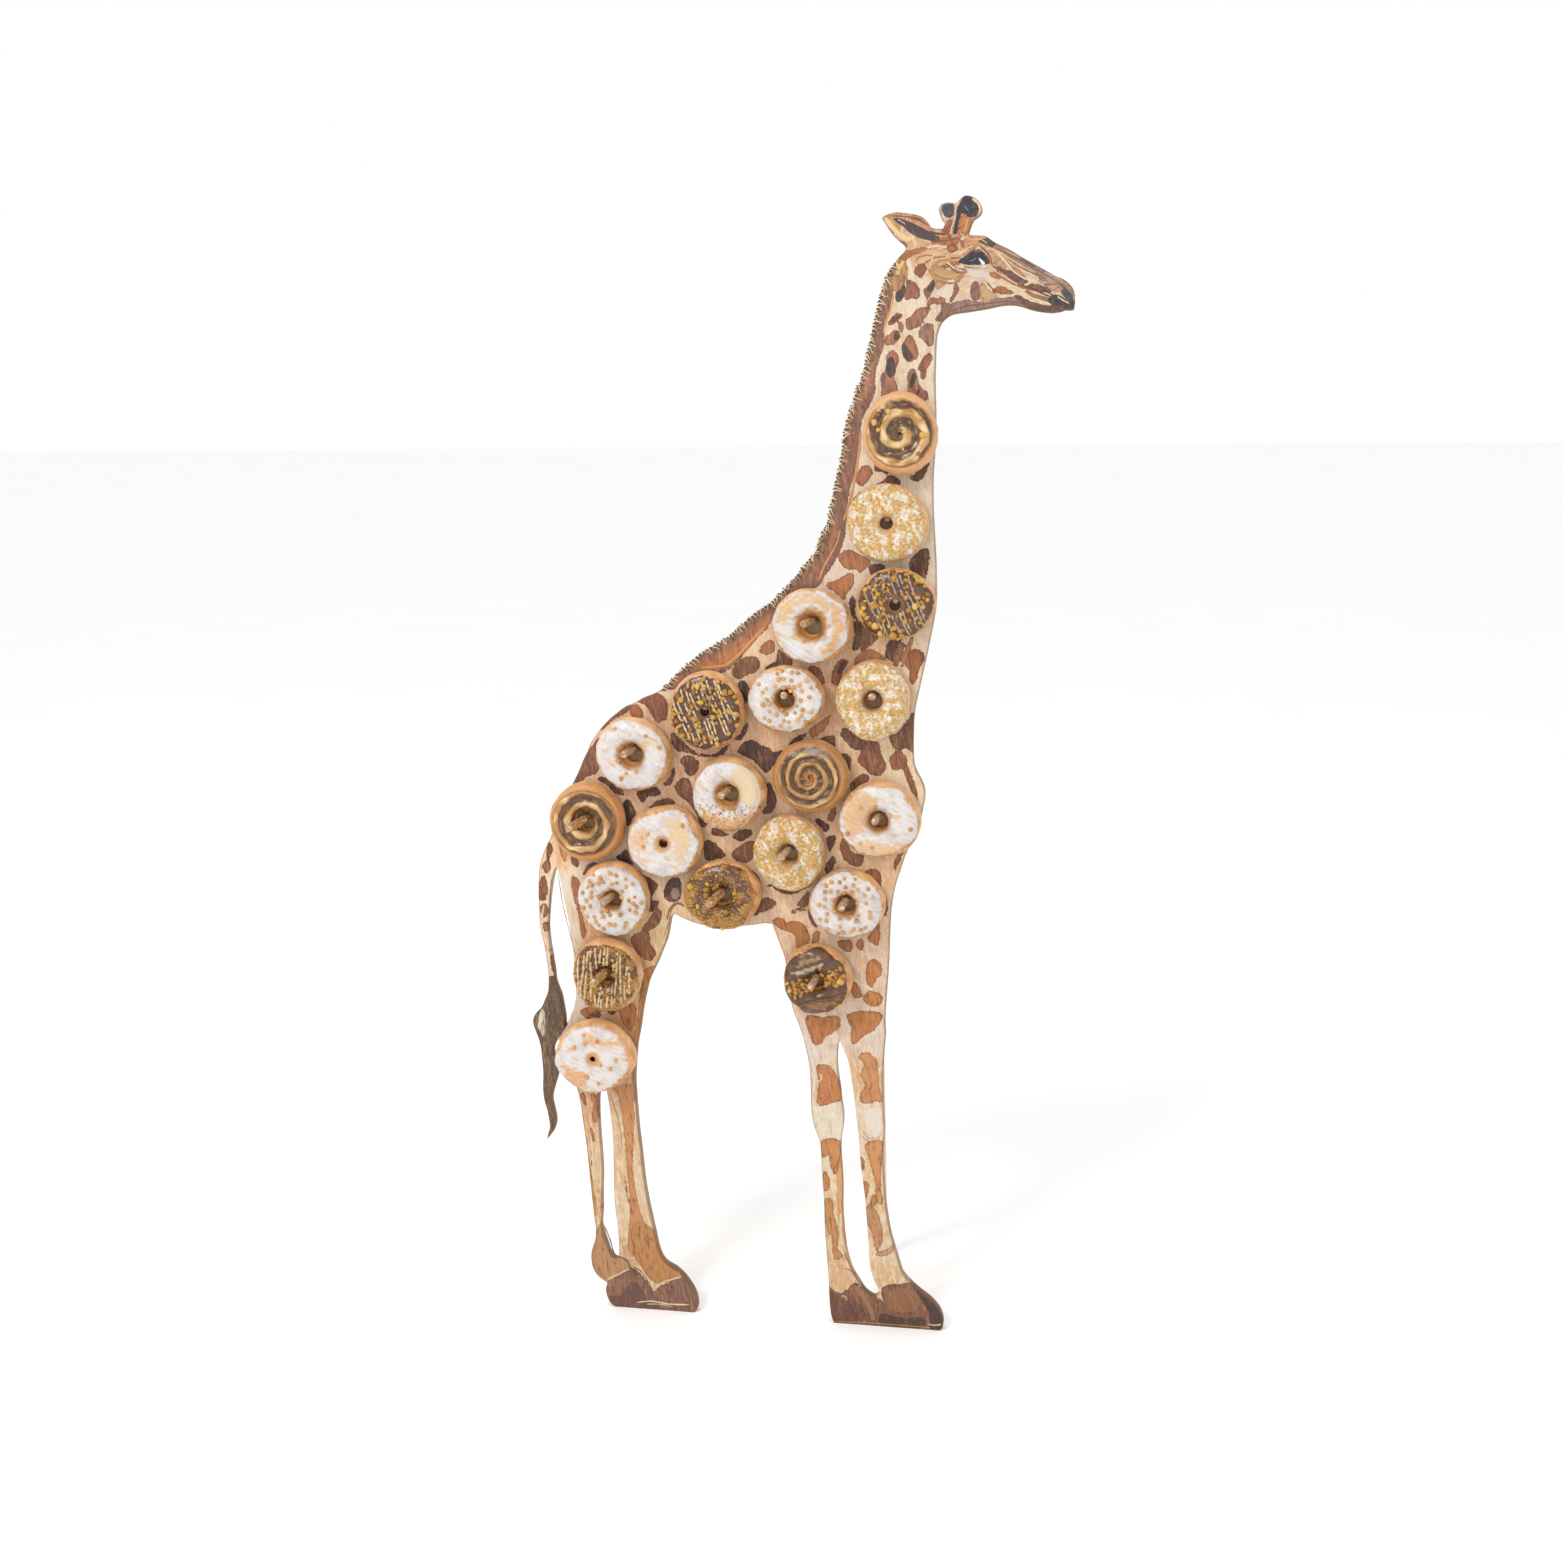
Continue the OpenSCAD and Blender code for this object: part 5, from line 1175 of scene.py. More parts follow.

# Marks on a doughnut's front are in hundredths of its radius.
# A swirl's crest colour is a painted highlight on its ridge tops.
DOUGHNUTS = {
    1: dict(kind="swirl", mouth=BLIND, wide=39.7, tall=43.9, pitch=18.5, phase=0.62,
            ridge="c08a48", crest="f8dfa8", valley="5e3a20", rim="f2b681",
            # The first mark is a painted highlight on the upper rim; the second is painted shade, a dark
            # slit in the middle.
            marks=[("f3c391", (-60, 70), (-30, 92), (10, 99), (50, 88), (84, 56), (74, 50),
                    (45, 76), (10, 84), (-25, 79), (-50, 62)),
                   ("4a2c1a", (-6, 24), (4, 12), (10, -8), (4, -22), (-2, -4))],
            nuts=(9, 12, 34, "e2b45a")),
    2: dict(kind="crumb", mouth=7.4, wide=44.4, tall=43.5),
    3: dict(kind="chocolate", mouth=7.0, wide=43.9, tall=39.3, nuts=(84, 12, 35, "d0993c"),
            drizzle=(112, 9, 6.0, 1.3, "b7a596")),
    4: dict(kind="white", mouth=13, wide=45, tall=41, veil=0.45,
            marks=[("dfb47c", (-84, 20), (-60, 64), (-10, 84), (40, 66), (60, 40), (40, 40), (0, 60),
                    (-40, 50), (-62, 10)),
                   ("c98b48", (-38, 22), (-10, 46), (22, 44), (46, 16), (42, -22), (12, -42),
                    (-18, -38), (-38, -12)),
                   ("dda661", (48, 60), (74, 40), (86, 0), (70, -44), (40, -74), (30, -60),
                    (54, -28), (60, 8), (50, 40))]),
    5: dict(kind="white", mouth=9.8, wide=42.7, tall=38.3, pearls=44, veil=0.0),
    6: dict(kind="chocolate", mouth=5.0, wide=43, tall=42.7, nuts=(84, 10.5, 36, "d0993c"),
            drizzle=(112, 11, 5.4, 1.25, "e2cdb2")),
    7: dict(kind="crumb", mouth=9.8, wide=40.4, tall=43.7),
    8: dict(kind="white", mouth=12.5, wide=42.5, tall=41.8, veil=0.3, pearls=8,
            marks=[("c78e52", (-36, 6), (-20, 30), (6, 34), (20, 20), (24, -8), (6, -30),
                    (-22, -30)),
                   ("e3b988", (24, 30), (44, 42), (60, 30), (44, 20), (28, 18))]),
    9: dict(kind="white", mouth=12, wide=41.3, tall=41.3, veil=0.2, crumbs=150, low=True,
            marks=[("dca860", (-70, -44), (-40, -50), (0, -60), (46, -50), (70, -40), (50, -80),
                    (0, -94), (-50, -80)),
                   ("e8cfa6", (10, 26), (20, 70), (50, 80), (82, 50), (90, 6), (70, -24),
                    (36, -14)),
                   ("d09a5e", (-30, 10), (-14, 34), (6, 28), (10, -6), (22, -30), (6, -44),
                    (-20, -30))]),
    10: dict(kind="swirl", mouth=BLIND, wide=42.5, tall=41, pitch=10.6, phase=0.3,
             ridge="a8743a", crest="e8c07a", valley="5a3418", rim="c48c4e",
             # The first mark is a painted highlight: a grey-white sheen across the top of the glaze.
             marks=[("b3a598", (-44, 60), (0, 84), (46, 72), (60, 50), (30, 62), (-6, 66),
                     (-30, 56)),
                    ("b07a3c", (-16, 14), (0, 20), (16, 10), (16, -12), (0, -20), (-16, -10))]),
    11: dict(kind="white", mouth=10, wide=46.7, tall=43.7, veil=0.25, pearls=7,
             marks=[("e0b27c", (-84, 10), (-70, 50), (-34, 74), (-4, 60), (-6, 34), (-26, 10),
                     (-40, -20), (-66, -40)),
                    ("e6bd86", (-60, -56), (-10, -50), (40, -58), (66, -50), (40, -78),
                     (0, -86), (-36, -78))]),
    12: dict(kind="swirl", mouth=10, wide=43.5, tall=45.4, pitch=15.0, phase=0.35,
             ridge="c9934e", crest="fbe2ac", valley="6a4528", rim="dd9c5c"),
    13: dict(kind="white", mouth=6.0, wide=44.8, tall=42, veil=0.35, pearls=5,
             drizzle=(150, 5, 4.6, 0.6, "efe6d8"),
             marks=[("e6c898", (10, 60), (40, 66), (66, 40), (70, 0), (60, -40), (40, -56),
                     (30, -10), (20, 30)),
                    ("e9bf94", (-86, 10), (-60, 40), (-40, 30), (-44, -10), (-60, -30))]),
    14: dict(kind="crumb", mouth=9.8, wide=40.6, tall=43, gold=0.75),
    15: dict(kind="chocolate", mouth=10.5, wide=44.5, tall=39.5, gold=0.85, crumbs=420,
             nuts=(30, 12, 34, "b88434"),
             marks=[("6e4a34", (-70, 20), (-50, 50), (-20, 56), (-24, 34), (-44, 14), (-50, -30),
                     (-20, -56), (-40, -60), (-66, -34)),
                    ("9c7c62", (-14, 66), (20, 62), (48, 44), (40, 38), (10, 52))]),
    16: dict(kind="white", mouth=9.8, wide=40.8, tall=42.5, pearls=46, veil=0.0),
    17: dict(kind="white", mouth=10.5, wide=42, tall=39, pearls=40, veil=0.0),
    18: dict(kind="chocolate", mouth=10, wide=40.4, tall=42, gold=0.8,
             drizzle=(88, 13, 4.9, 1.7, "e0c39a"), crumbs=160, nuts=(34, 11, 34, "b07a3a")),
    19: dict(kind="chocolate", mouth=9.8, wide=38.5, tall=40, nuts=(46, 8, 31, "c9913c"), band=9,
             drizzle=(20, 4, 13.0, 1.6, "6a4a34"),
             # The first two marks are painted highlights across the top of the chocolate.
             marks=[("e2d2b6", (-64, 26), (-44, 40), (-12, 44), (16, 58), (6, 42), (-30, 28)),
                    ("b8976c", (-50, 52), (-20, 66), (14, 76), (6, 64), (-30, 50)),
                    ("9a6c38", (30, 10), (60, 30), (84, 30), (80, 14), (56, 8), (34, -4)),
                    ("a3743a", (-30, -56), (0, -58), (40, -50), (70, -30), (60, -52), (20, -74),
                     (-20, -72))]),
    20: dict(kind="white", mouth=4.2, wide=48, tall=43.7, veil=0.3, pearls=10,
             marks=[("e2ac6e", (-16, 70), (10, 58), (46, 52), (60, 56), (70, 44), (30, 36),
                     (0, 40), (-20, 50)),
                    ("dea468", (-80, -20), (-50, -26), (-20, -34), (-10, -60), (-30, -80),
                     (-60, -60))]),
}
BODY_SLOT = {"swirl": "swirl_doughnut", "crumb": "crumb_doughnut",
             "chocolate": "chocolate_doughnut", "white": "white_glaze_doughnut"}
# What lies on the icing: least distance apart, sizes, how uneven, gloss, fineness and colours.
TOPPINGS = {
    "grains": dict(apart=1.7, size=(0.45, 0.95), uneven=0.3, gloss=0.3, fine=1,
                   codes=["e2bd78", "d2a258", "ece2cc", "efe6d4", "c8924a"]),
    "crumbs": dict(apart=1.8, size=(0.5, 1.1), uneven=0.35, gloss=0.4, fine=1,
                   codes=["c8923f", "dfb062", "a87230"]),
    "pearls": dict(apart=5.2, size=(1.8, 2.6), uneven=0.08, gloss=0.75, fine=3,
                   codes=["d9a254", "cc9040", "e0ac62"]),
    "nuts": dict(apart=3.3, size=(1.6, 3.3), uneven=0.4, gloss=0.6, fine=2,
                 codes=["e4b654", "a4702c"]),
}
GRAINS = 520        # on each crumb doughnut
SINK = 0.35         # share of a lump's height that is pressed in


def ring_outline(radius, mouth, tip):
    """Cross-section of a ring as (distance from the middle, height), evenly spaced."""
    crest = (radius + mouth) / 2
    outside = [(radius, -3), (radius - 0.6, 4), (radius - 3.5, 10.5), (radius - 9, 15),
               (crest, 16.2)]
    if mouth >= BORE:
        inside = [(mouth + 6.5, 14.6), (mouth + 2.2, 11), (max(mouth, BORE + 0.3), 5.5),
                  (BORE + 0.2, -1), (BORE + 0.2, -8)]
    else:
        # A short peg ends behind the front, which then closes in over it.
        inside = [(mouth + 6, 14.9), (mouth + 1.7, 14), (mouth, max(12.2, tip + 2.6)),
                  (mouth + 0.7, tip + 1.7), (BORE - 0.8, tip + 1.3), (BORE + 0.2, tip - 1.2),
                  (BORE + 0.2, -8)]
    behind = [(12, -13.5), (crest, -15.9), (radius - 8, -14), (radius - 1.5, -9)]
    line = curve_through(outside + inside + behind, pieces=12)
    line = np.vstack([line, line[:1]])
    run = np.concatenate([[0], np.cumsum(np.linalg.norm(np.diff(line, axis=0), axis=1))])
    even = np.arange(ROWS) / ROWS * run[-1]
    return np.column_stack([np.interp(even, run, line[:, k]) for k in (0, 1)])


class Ring:
    """One doughnut's surface grid, with its normals, tint and gloss."""

    def __init__(self, number, look):
        self.look = look
        node = NODES["doughnut_%02d" % number]
        low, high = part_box(node.name)
        self.centre = (low + high) / 2
        self.radius = (high.x - low.x) / MM / 2 - 0.6
        peg = NODES["peg_%02d" % number].data
        self.tip = max((v.co - self.centre).dot(OUT) for v in peg.vertices) / MM
        self.rng = np.random.default_rng(SEED + number)
        self.seed = SEED * 100 + number * 10
        self.mouth = look["mouth"]
        self.lay_grid()
        self.gloss = np.full(self.u.shape, DOUGH_GLOSS)
        self.tint = self.baked()
        self.rise = 0.35 * waves(self.places, 7, self.seed + 2) * (1 - self.bore)

    def lay_grid(self):
        """The ring's surface as a grid: round the ring by columns, round its section by rows."""
        line = ring_outline(self.radius, self.mouth, self.tip)
        self.phi = np.arange(COLS)[:, None] * math.tau / COLS
        self.around = np.column_stack([np.cos(self.phi), np.sin(self.phi)])[:, None]
        r, c = line[None, :, 0], line[None, :, 1]
        reach = smoothstep(12, self.radius, r)
        uneven = 0.9 * waves(self.around, 0.9, self.seed, 5)
        wide, tall = self.look["wide"], self.look["tall"]
        r = r + uneven * reach
        self.u = r * np.cos(self.phi) * (1 + (2 * wide / (wide + tall) - 1) * reach)
        self.v = r * np.sin(self.phi) * (1 + (2 * tall / (wide + tall) - 1) * reach)
        self.c = np.broadcast_to(c, self.u.shape).copy()
        self.r = np.hypot(self.u, self.v)
        # `turn` runs from 0 at the rim over the front to about 3 in the hole.
        crest = (self.radius + max(self.mouth, 8)) / 2
        self.turn = np.broadcast_to(np.arctan2(c, line[None, :, 0] - crest), self.u.shape)
        self.front = smoothstep(-2, 5, self.c)
        # The wall round the peg, or round a short peg's end, keeps its own shape.
        wall = (12, 8) if self.mouth >= BORE else (self.tip + 2.4, self.tip + 1.6)
        self.bore = smoothstep(13.5, 10, self.r) * smoothstep(*wall, self.c)
        self.places = np.stack([self.u, self.v, self.c], -1)
        self.normals = self.find_normals()

    def baked(self):
        """Colours of the fried dough: golden and pale round the rim, with painted light: lighter on top,
        a painted contact shade behind, and a painted brightening in the bore.
        """
        dough = waves(self.places, 9, self.seed + 1)[..., None]
        tint = np.clip(tone("e3a460") + 0.16 * dough * tone("f0c090"), 0, 1)
        # Painted light: the upper side of the ring is made lighter.
        high = smoothstep(-self.radius, self.radius, self.v + 0.4 * self.c)[..., None]
        tint = tint * (0.86 + 0.16 * high) + 0.05 * high
        fleck = 0.7 * smoothstep(0.4, 1.5, waves(self.places, 2.6, self.seed + 15, 14))
        pale = 0.55 * np.exp(-((self.turn + 0.02) / 0.22) ** 2)
        # Painted shade: the back of the ring, towards the board, is darkened.
        contact_shade = smoothstep(-3, -13, self.c)
        # Painted light: the bore's wall is brightened against its own shade.
        hole = smoothstep(13, 11, self.r) * smoothstep(-15, -8, self.c)
        for code, share in (("fbdcb0", fleck), ("f3cfa2", pale), ("8f5a2c", contact_shade),
                            ("ffc070", hole)):
            tint = tint + (tone(code) - tint) * share[..., None]
        return tint

    def find_normals(self):
        ahead = np.roll(self.places, -1, 0) - np.roll(self.places, 1, 0)
        over = np.roll(self.places, -1, 1) - np.roll(self.places, 1, 1)
        normal = np.cross(ahead, over)
        return normal / (np.linalg.norm(normal, axis=-1, keepdims=True) + 1e-9)

    def blend(self, share, colour, gloss=None):
        share = np.asarray(share)
        self.tint = self.tint + (colour - self.tint) * share[..., None]
        if gloss is not None:
            self.gloss = self.gloss + (gloss - self.gloss) * share

    def ice(self, colour, thick, gloss, outer=0.55, inner=2.75):
        """Icing over the front with a wandering, rounded edge; returns its cover."""
        edge = outer + 0.13 * waves(self.around, 0.5, self.seed + 3, 7)
        edge = edge + 0.06 * waves(self.places, 3.2, self.seed + 11, 12)
        inside = np.minimum(self.turn - edge, inner - self.turn) * 15
        cover = smoothstep(-0.5, 0.6, inside)
        bead = np.exp(-((inside - 1.6) / 1.3) ** 2)
        self.rise = self.rise + (thick * smoothstep(-0.4, 1.8, inside) + 0.35 * bead)
        self.blend(cover, colour, gloss)
        return cover

    def paint_marks(self, cover=1.0):
        marks = self.look.get("marks", [])
        if not marks:
            return
        percent = 100 / self.radius
        flat = self.places.reshape(-1, 3)
        layer = PaintLayer(flat[:, 0] * percent, flat[:, 1] * percent)
        for code, *points in marks:
            layer.area(code, *points)
        wander = 5 * waves(flat, 3.5, self.seed + 4)
        share = smoothstep(-7, 7, layer.depth + wander).reshape(self.r.shape)
        strands = 0.85 + 0.2 * waves(self.places * (1, 3, 1), 4, self.seed + 5)
        self.blend(np.clip(share * self.front * cover * strands, 0, 1),
                   layer.tint.reshape(self.tint.shape))

    def settle(self):
        """Move the grid out along its normals by the built-up height."""
        keep = 1 - 0.999 * self.bore
        self.places = self.places + self.normals * (self.rise * keep)[..., None]
        self.places[..., 2] = np.clip(self.places[..., 2], BACK_LIMIT, FRONT_LIMIT)
        self.normals = self.find_normals()

    def pick(self, count, nearest, inner, outer, wanted=None):
        """Places on the front, spread out, between two distances from the middle."""
        chosen = []
        on_front = self.places[..., 2] > 6
        rows = np.argwhere((self.r > inner) & (self.r < outer) & on_front)
        share = self.r[rows[:, 0], rows[:, 1]]
        tries = min(len(rows), count * 12)
        order = self.rng.choice(len(rows), tries, replace=False, p=share / share.sum())
        for i, j in rows[order]:
            here = self.places[i, j]
            if wanted is not None and not wanted(here):
                continue
            if all(np.sum((here - self.places[a, b]) ** 2) > nearest ** 2 for a, b in chosen):
                chosen.append((i, j))
                if len(chosen) == count:
                    break
        return chosen

    def to_world(self, places):
        frame_axes = np.array([ACROSS, UP, OUT])
        return np.array(self.centre) + np.asarray(places) @ frame_axes * MM


def scatter(shape, ring, topping, count, inner, outer, wanted=None, own_codes=()):
    """Lumps of icing, nut or crumb spread over the front and pressed into it."""
    kind = TOPPINGS[topping]
    codes = [*own_codes, *kind["codes"]]
    uneven = kind["uneven"]
    ball, faces = round_lump(kind["fine"])
    for i, j in ring.pick(count, kind["apart"], inner, outer, wanted):
        turn = np.linalg.qr(ring.rng.normal(size=(3, 3)))[0]
        if np.linalg.det(turn) < 0:
            turn[0] *= -1
        grow = ring.rng.uniform(*kind["size"]) * (1 + ring.rng.uniform(-uneven, uneven, 3))
        verts = ball * (1 + ring.rng.uniform(-0.22, 0.22, (len(ball), 1)) * (uneven > 0.1))
        verts = (verts * grow) @ turn
        home = ring.places[i, j] + ring.normals[i, j] * grow.mean() * (1 - 2 * SINK)
        colour = tone(codes[ring.rng.integers(len(codes))]) * ring.rng.uniform(0.85, 1.1)
        shape.add(ring.to_world(verts + home), faces, np.clip(colour, 0, 1), kind["gloss"])


STRING_STEP = 1.1       # between the points of a string of icing, in mm
STRING_BREAK = 0.06     # chance of a break at each point
STRING_SIDES = 8


def add_string(shape, ring, string, radius, number, code):
    """One unbroken string of icing through its points, thin at both ends."""
    if len(string) <= 3:
        return
    path = np.array(string)
    size = radius * (0.85 + 0.25 * np.sin(np.arange(len(path)) * 0.9 + number))
    size[[0, -1]] *= 0.4
    verts, faces, ends = tube(ring.to_world(path), size * MM, STRING_SIDES)
    colour = np.clip(tone(code) * ring.rng.uniform(0.9, 1.08), 0, 1)
    shape.add_tube(verts, faces, ends, colour, 0.7)


def drizzle(shape, ring, angle, lines, gap, radius, code):
    """Thin strings of icing laid over the front in nearly parallel lines."""
    front = np.argwhere(ring.places[..., 2] > 2)
    spots = ring.places[front[:, 0], front[:, 1]]
    tree = kdtree.KDTree(len(spots))
    for k, (u, v, _) in enumerate(spots):
        tree.insert((u, v, 0), k)
    tree.balance()
    way = np.array([math.cos(math.radians(angle)), math.sin(math.radians(angle))])
    side = np.array([-way[1], way[0]])
    for k in range(lines):
        off = (k - (lines - 1) / 2) * gap + ring.rng.uniform(-0.8, 0.8)
        lean, bow = ring.rng.uniform(-0.07, 0.07), ring.rng.uniform(-1.2, 1.2)
        reach = math.sqrt(max(0, (ring.radius - 4) ** 2 - off ** 2)) * ring.rng.uniform(0.9, 1)
        string = []
        for t in np.arange(-reach, reach, STRING_STEP):
            flat = way * t + side * (off + lean * t + bow * math.sin(t / 9))
            over_mouth = np.linalg.norm(flat) < ring.mouth + 1.6
            if over_mouth or ring.rng.random() < STRING_BREAK:
                add_string(shape, ring, string, radius, k, code)
                string = []
                continue
            near = [spots[hit[1]][2] for hit in tree.find_n((*flat, 0), 4)]
            string.append([*flat, float(np.mean(near)) + radius * 0.45])
        add_string(shape, ring, string, radius, k, code)


def swirl_look(ring):
    look = ring.look
    around = ring.phi / math.tau
    coil = ring.r / look["pitch"] + around + look["phase"] + 0.05 * waves(ring.places, 6, ring.seed)
    wave = np.cos((coil + 0.05 * waves(ring.places, 9, ring.seed + 12)) * math.tau)
    rim = smoothstep(0.80 * ring.radius, 0.88 * ring.radius, ring.r)
    cover = ring.front * (1 - rim)
    ring.blend(ring.front * rim * 0.8, tone(look["rim"]))
    ring.blend(cover, tone(look["valley"]), 0.8)
    ring.blend(cover * smoothstep(-0.35, 0.25, wave), tone(look["ridge"]), 0.75)
    dark = 0.5 + 0.5 * waves(ring.places, 10, ring.seed + 13)
    ring.blend(cover * smoothstep(-0.2, -0.9, wave) * np.clip(dark, 0, 1), tone("46291a"))
    # Painted highlight: the light crest colour lies on the ridge tops, in patches.
    crest_highlight_share = 0.45 + 0.6 * waves(ring.places, 11, ring.seed + 6)
    ring.blend(cover * smoothstep(0.2, 0.7, wave) * np.clip(crest_highlight_share, 0, 1), tone(look["crest"]))
    phi = np.broadcast_to(ring.phi, ring.r.shape)
    spiral = np.stack([ring.r * 1.6, 6 * np.cos(phi), 6 * np.sin(phi)], -1)
    strands = waves(spiral, 1.8, ring.seed + 14, 12)
    ring.blend(cover * smoothstep(0.2, 1.6, strands) * 0.45, tone("e2bd80"))
    ring.blend(cover * smoothstep(0.2, 1.6, -strands) * 0.35, tone("4a2c18"))
    ring.rise = ring.rise + cover * 0.18 * strands
    # Painted shade: the groove between the coils is darkened where the surface is also cut in.
    groove = np.exp(-((wave + 0.1) / 0.25) ** 2) * cover
    ring.blend(0.75 * groove, tone("38200f"))
    ring.rise = ring.rise + cover * (1.6 * wave - 0.7 * groove)
    # Painted shade: the groove round the rim's inner edge is darkened.
    edge = np.exp(-((ring.r - 0.84 * ring.radius) / 1.4) ** 2) * ring.front
    ring.rise = ring.rise - 1.2 * edge
    ring.blend(0.5 * edge, tone("7a4a26"))
    ring.paint_marks(1 - 0.6 * rim)


def crumb_look(ring):
    cover = ring.ice(tone("ead7b2"), 0.5, 0.25, outer=0.5)
    gold = ring.look.get("gold", 0.5)
    patch = waves(ring.places, 6.5, ring.seed + 7) + 0.8 * waves(ring.places, 2.6, ring.seed + 5, 14)
    ring.blend(cover * smoothstep(0.1 - gold, 1.0 - gold, patch), tone("d6a858"))
    ring.blend(cover * smoothstep(0.3, 1.2, -patch), tone("f4efe9"))
    fine = waves(ring.places, 1.9, ring.seed + 8, 14)
    ring.blend(cover * smoothstep(0.3, 1.2, fine) * 0.7, tone("c8964c"))
    ring.blend(cover * smoothstep(0.3, 1.2, -fine) * 0.6, tone("f4eee2"))
    ring.rise = ring.rise + cover * (0.28 * fine + 0.22 * waves(ring.places, 1.1, ring.seed + 9, 14))
    inside = smoothstep(ring.mouth + 7, ring.mouth + 1, ring.r) * ring.front
    ring.blend(inside * 0.65, tone("c08c4c"))
    ring.paint_marks()


def chocolate_look(ring):
    cover = ring.ice(tone("5f3e2a"), 1.0, 0.85, outer=0.72)
    swirl = waves(ring.places, 6, ring.seed + 7)
    ring.blend(cover * smoothstep(0.1, 1.4, swirl) * 0.6, tone("8a5f40"))
    gold = ring.look.get("gold", 0)
    if gold:
        patch = waves(ring.places, 7, ring.seed + 10) + (ring.r - 26) / 14 - ring.v / 30
        fine = waves(ring.places, 1.8, ring.seed + 8, 14)
        share = cover * smoothstep(0.5 - gold, 1.5 - gold, patch + 0.4 * fine)
        ring.blend(share, tone("b5843c"), 0.5)
        ring.blend(share * smoothstep(0.3, 1.2, fine) * 0.6, tone("e2b660"))
        ring.rise = ring.rise + share * (0.3 * fine + 0.5)
    inside = smoothstep(ring.mouth + 6, ring.mouth, ring.r) * ring.front
    ring.blend(inside * 0.55, tone("a06a3a"))
    ring.paint_marks(cover)


def white_look(ring):
    cover = ring.ice(tone("e4e2e5"), 1.15, 0.6, outer=0.72)
    veil = ring.look.get("veil", 0)
    strands = waves(ring.places @ np.array([[1.0, 0.5, 0], [-0.5, 1.0, 0], [0, 0, 0.4]])
                    * (0.35, 1.5, 1), 3.4, ring.seed + 7, 14)
    patch = waves(ring.places * (1, 1.4, 1), 9, ring.seed + 9) + 0.5 * strands
    ring.blend(cover * smoothstep(1.3 - 2 * veil, 2.2 - 2 * veil, patch) * 0.8, tone("e0b984"))
    ring.blend(cover * smoothstep(0.2, 1.5, strands) * 0.62, tone("dcbf9a"))
    ring.blend(cover * smoothstep(0.5, 1.7, -strands) * 0.5, tone("f4f4fa"))
    fine = waves(ring.places, 2.4, ring.seed + 8, 12)
    ring.blend(cover * smoothstep(0.6, 1.7, fine) * 0.5, tone("d8b48c"))
    grey = waves(ring.places, 12, ring.seed + 16)
    ring.blend(cover * smoothstep(0.1, 1.3, grey) * 0.5, tone("c8c3c4"))
    ring.rise = ring.rise + cover * (0.15 * fine + 0.14 * strands)
    inside = smoothstep(ring.mouth + 6.5, ring.mouth + 1.5, ring.r) * ring.front
    ring.blend(inside * 0.85, tone("cf9048"))
    ring.paint_marks(cover)


def doughnut_glaze(name, depth_tone):
    """One material for a ring and what lies on it: colour and gloss are on the vertices."""
    s = Shader(name)
    tint = s.attribute("tint", "Color")
    pores = s.noise(1400, 4, None, 0.65)
    cloud = s.noise(260, 4, None, 0.6)
    colour = s.mix(s.ease(cloud, 0.42, 0.75, 0.0, 0.22), tint, depth_tone)
    colour = s.mix(s.ease(pores, 0.3, 0.5, 0.22, 0.0), colour, depth_tone)
    rough = s.ease(s.math("ADD", s.attribute("gloss"), s.math("MULTIPLY", s.math(
        "SUBTRACT", pores, 0.5), 0.35)), 0.0, 1.0, 0.72, 0.16)
    return s.finish(colour, rough, s.bump(pores, 0.25, 0.0004), subsurface_weight=0.3,
                    subsurface_radius=(1.0, 0.45, 0.18), subsurface_scale=0.0025, specular_ior_level=0.5)


def crumb_peg(ring, number, material):
    """Golden crumbs stuck to the sides of a long peg; its top stays clear for the ring."""
    peg = np.array([v.co for v in NODES["peg_%02d" % number].data.vertices])
    axis = (peg.min(axis=0) + peg.max(axis=0)) / 2
    middle = np.array([(axis - np.array(ring.centre)) @ np.array(a) for a in (ACROSS, UP)]) / MM
    shape = Shape()
    ball, faces = round_lump(2)
    for _ in range(PEG_CRUMBS):
        angle = math.radians(ring.rng.uniform(-215, 35))
        grow = ring.rng.uniform(0.6, 1.5)
        reach = 3.6 + 0.3 * grow
        home = (middle[0] + reach * math.cos(angle), middle[1] + reach * math.sin(angle),
                ring.rng.uniform(18, ring.tip - 1.5))
        verts = ball * grow * (1 + ring.rng.uniform(-0.25, 0.25, (len(ball), 1)))
        colour = tone(PEG_CODES[ring.rng.integers(len(PEG_CODES))])
        shape.add(ring.to_world(verts + home), faces, colour, 0.5)
    piece = shape.make("peg_crumbs_%02d" % number, material, "board")


def add_toppings(shape, ring):
    look = ring.look
    inside, edge = ring.mouth + 3, ring.radius - 7
    if look["kind"] == "crumb":
        scatter(shape, ring, "grains", GRAINS, inside, edge + 4)
    if "crumbs" in look:
        below = (lambda p: p[1] < -10) if look.get("low") else None
        scatter(shape, ring, "crumbs", look["crumbs"], inside, edge + 3, below)
    if "pearls" in look:
        scatter(shape, ring, "pearls", look["pearls"], inside, edge)
    if "drizzle" in look:
        drizzle(shape, ring, *look["drizzle"])
    if "nuts" in look:
        count, inner, outer, code = look["nuts"]
        middle = (lambda p: abs(p[1] - 0.35 * p[0]) < look["band"]) if "band" in look else None
        scatter(shape, ring, "nuts", count, max(inner, ring.mouth + 1.5), outer, middle,
                (code, code))


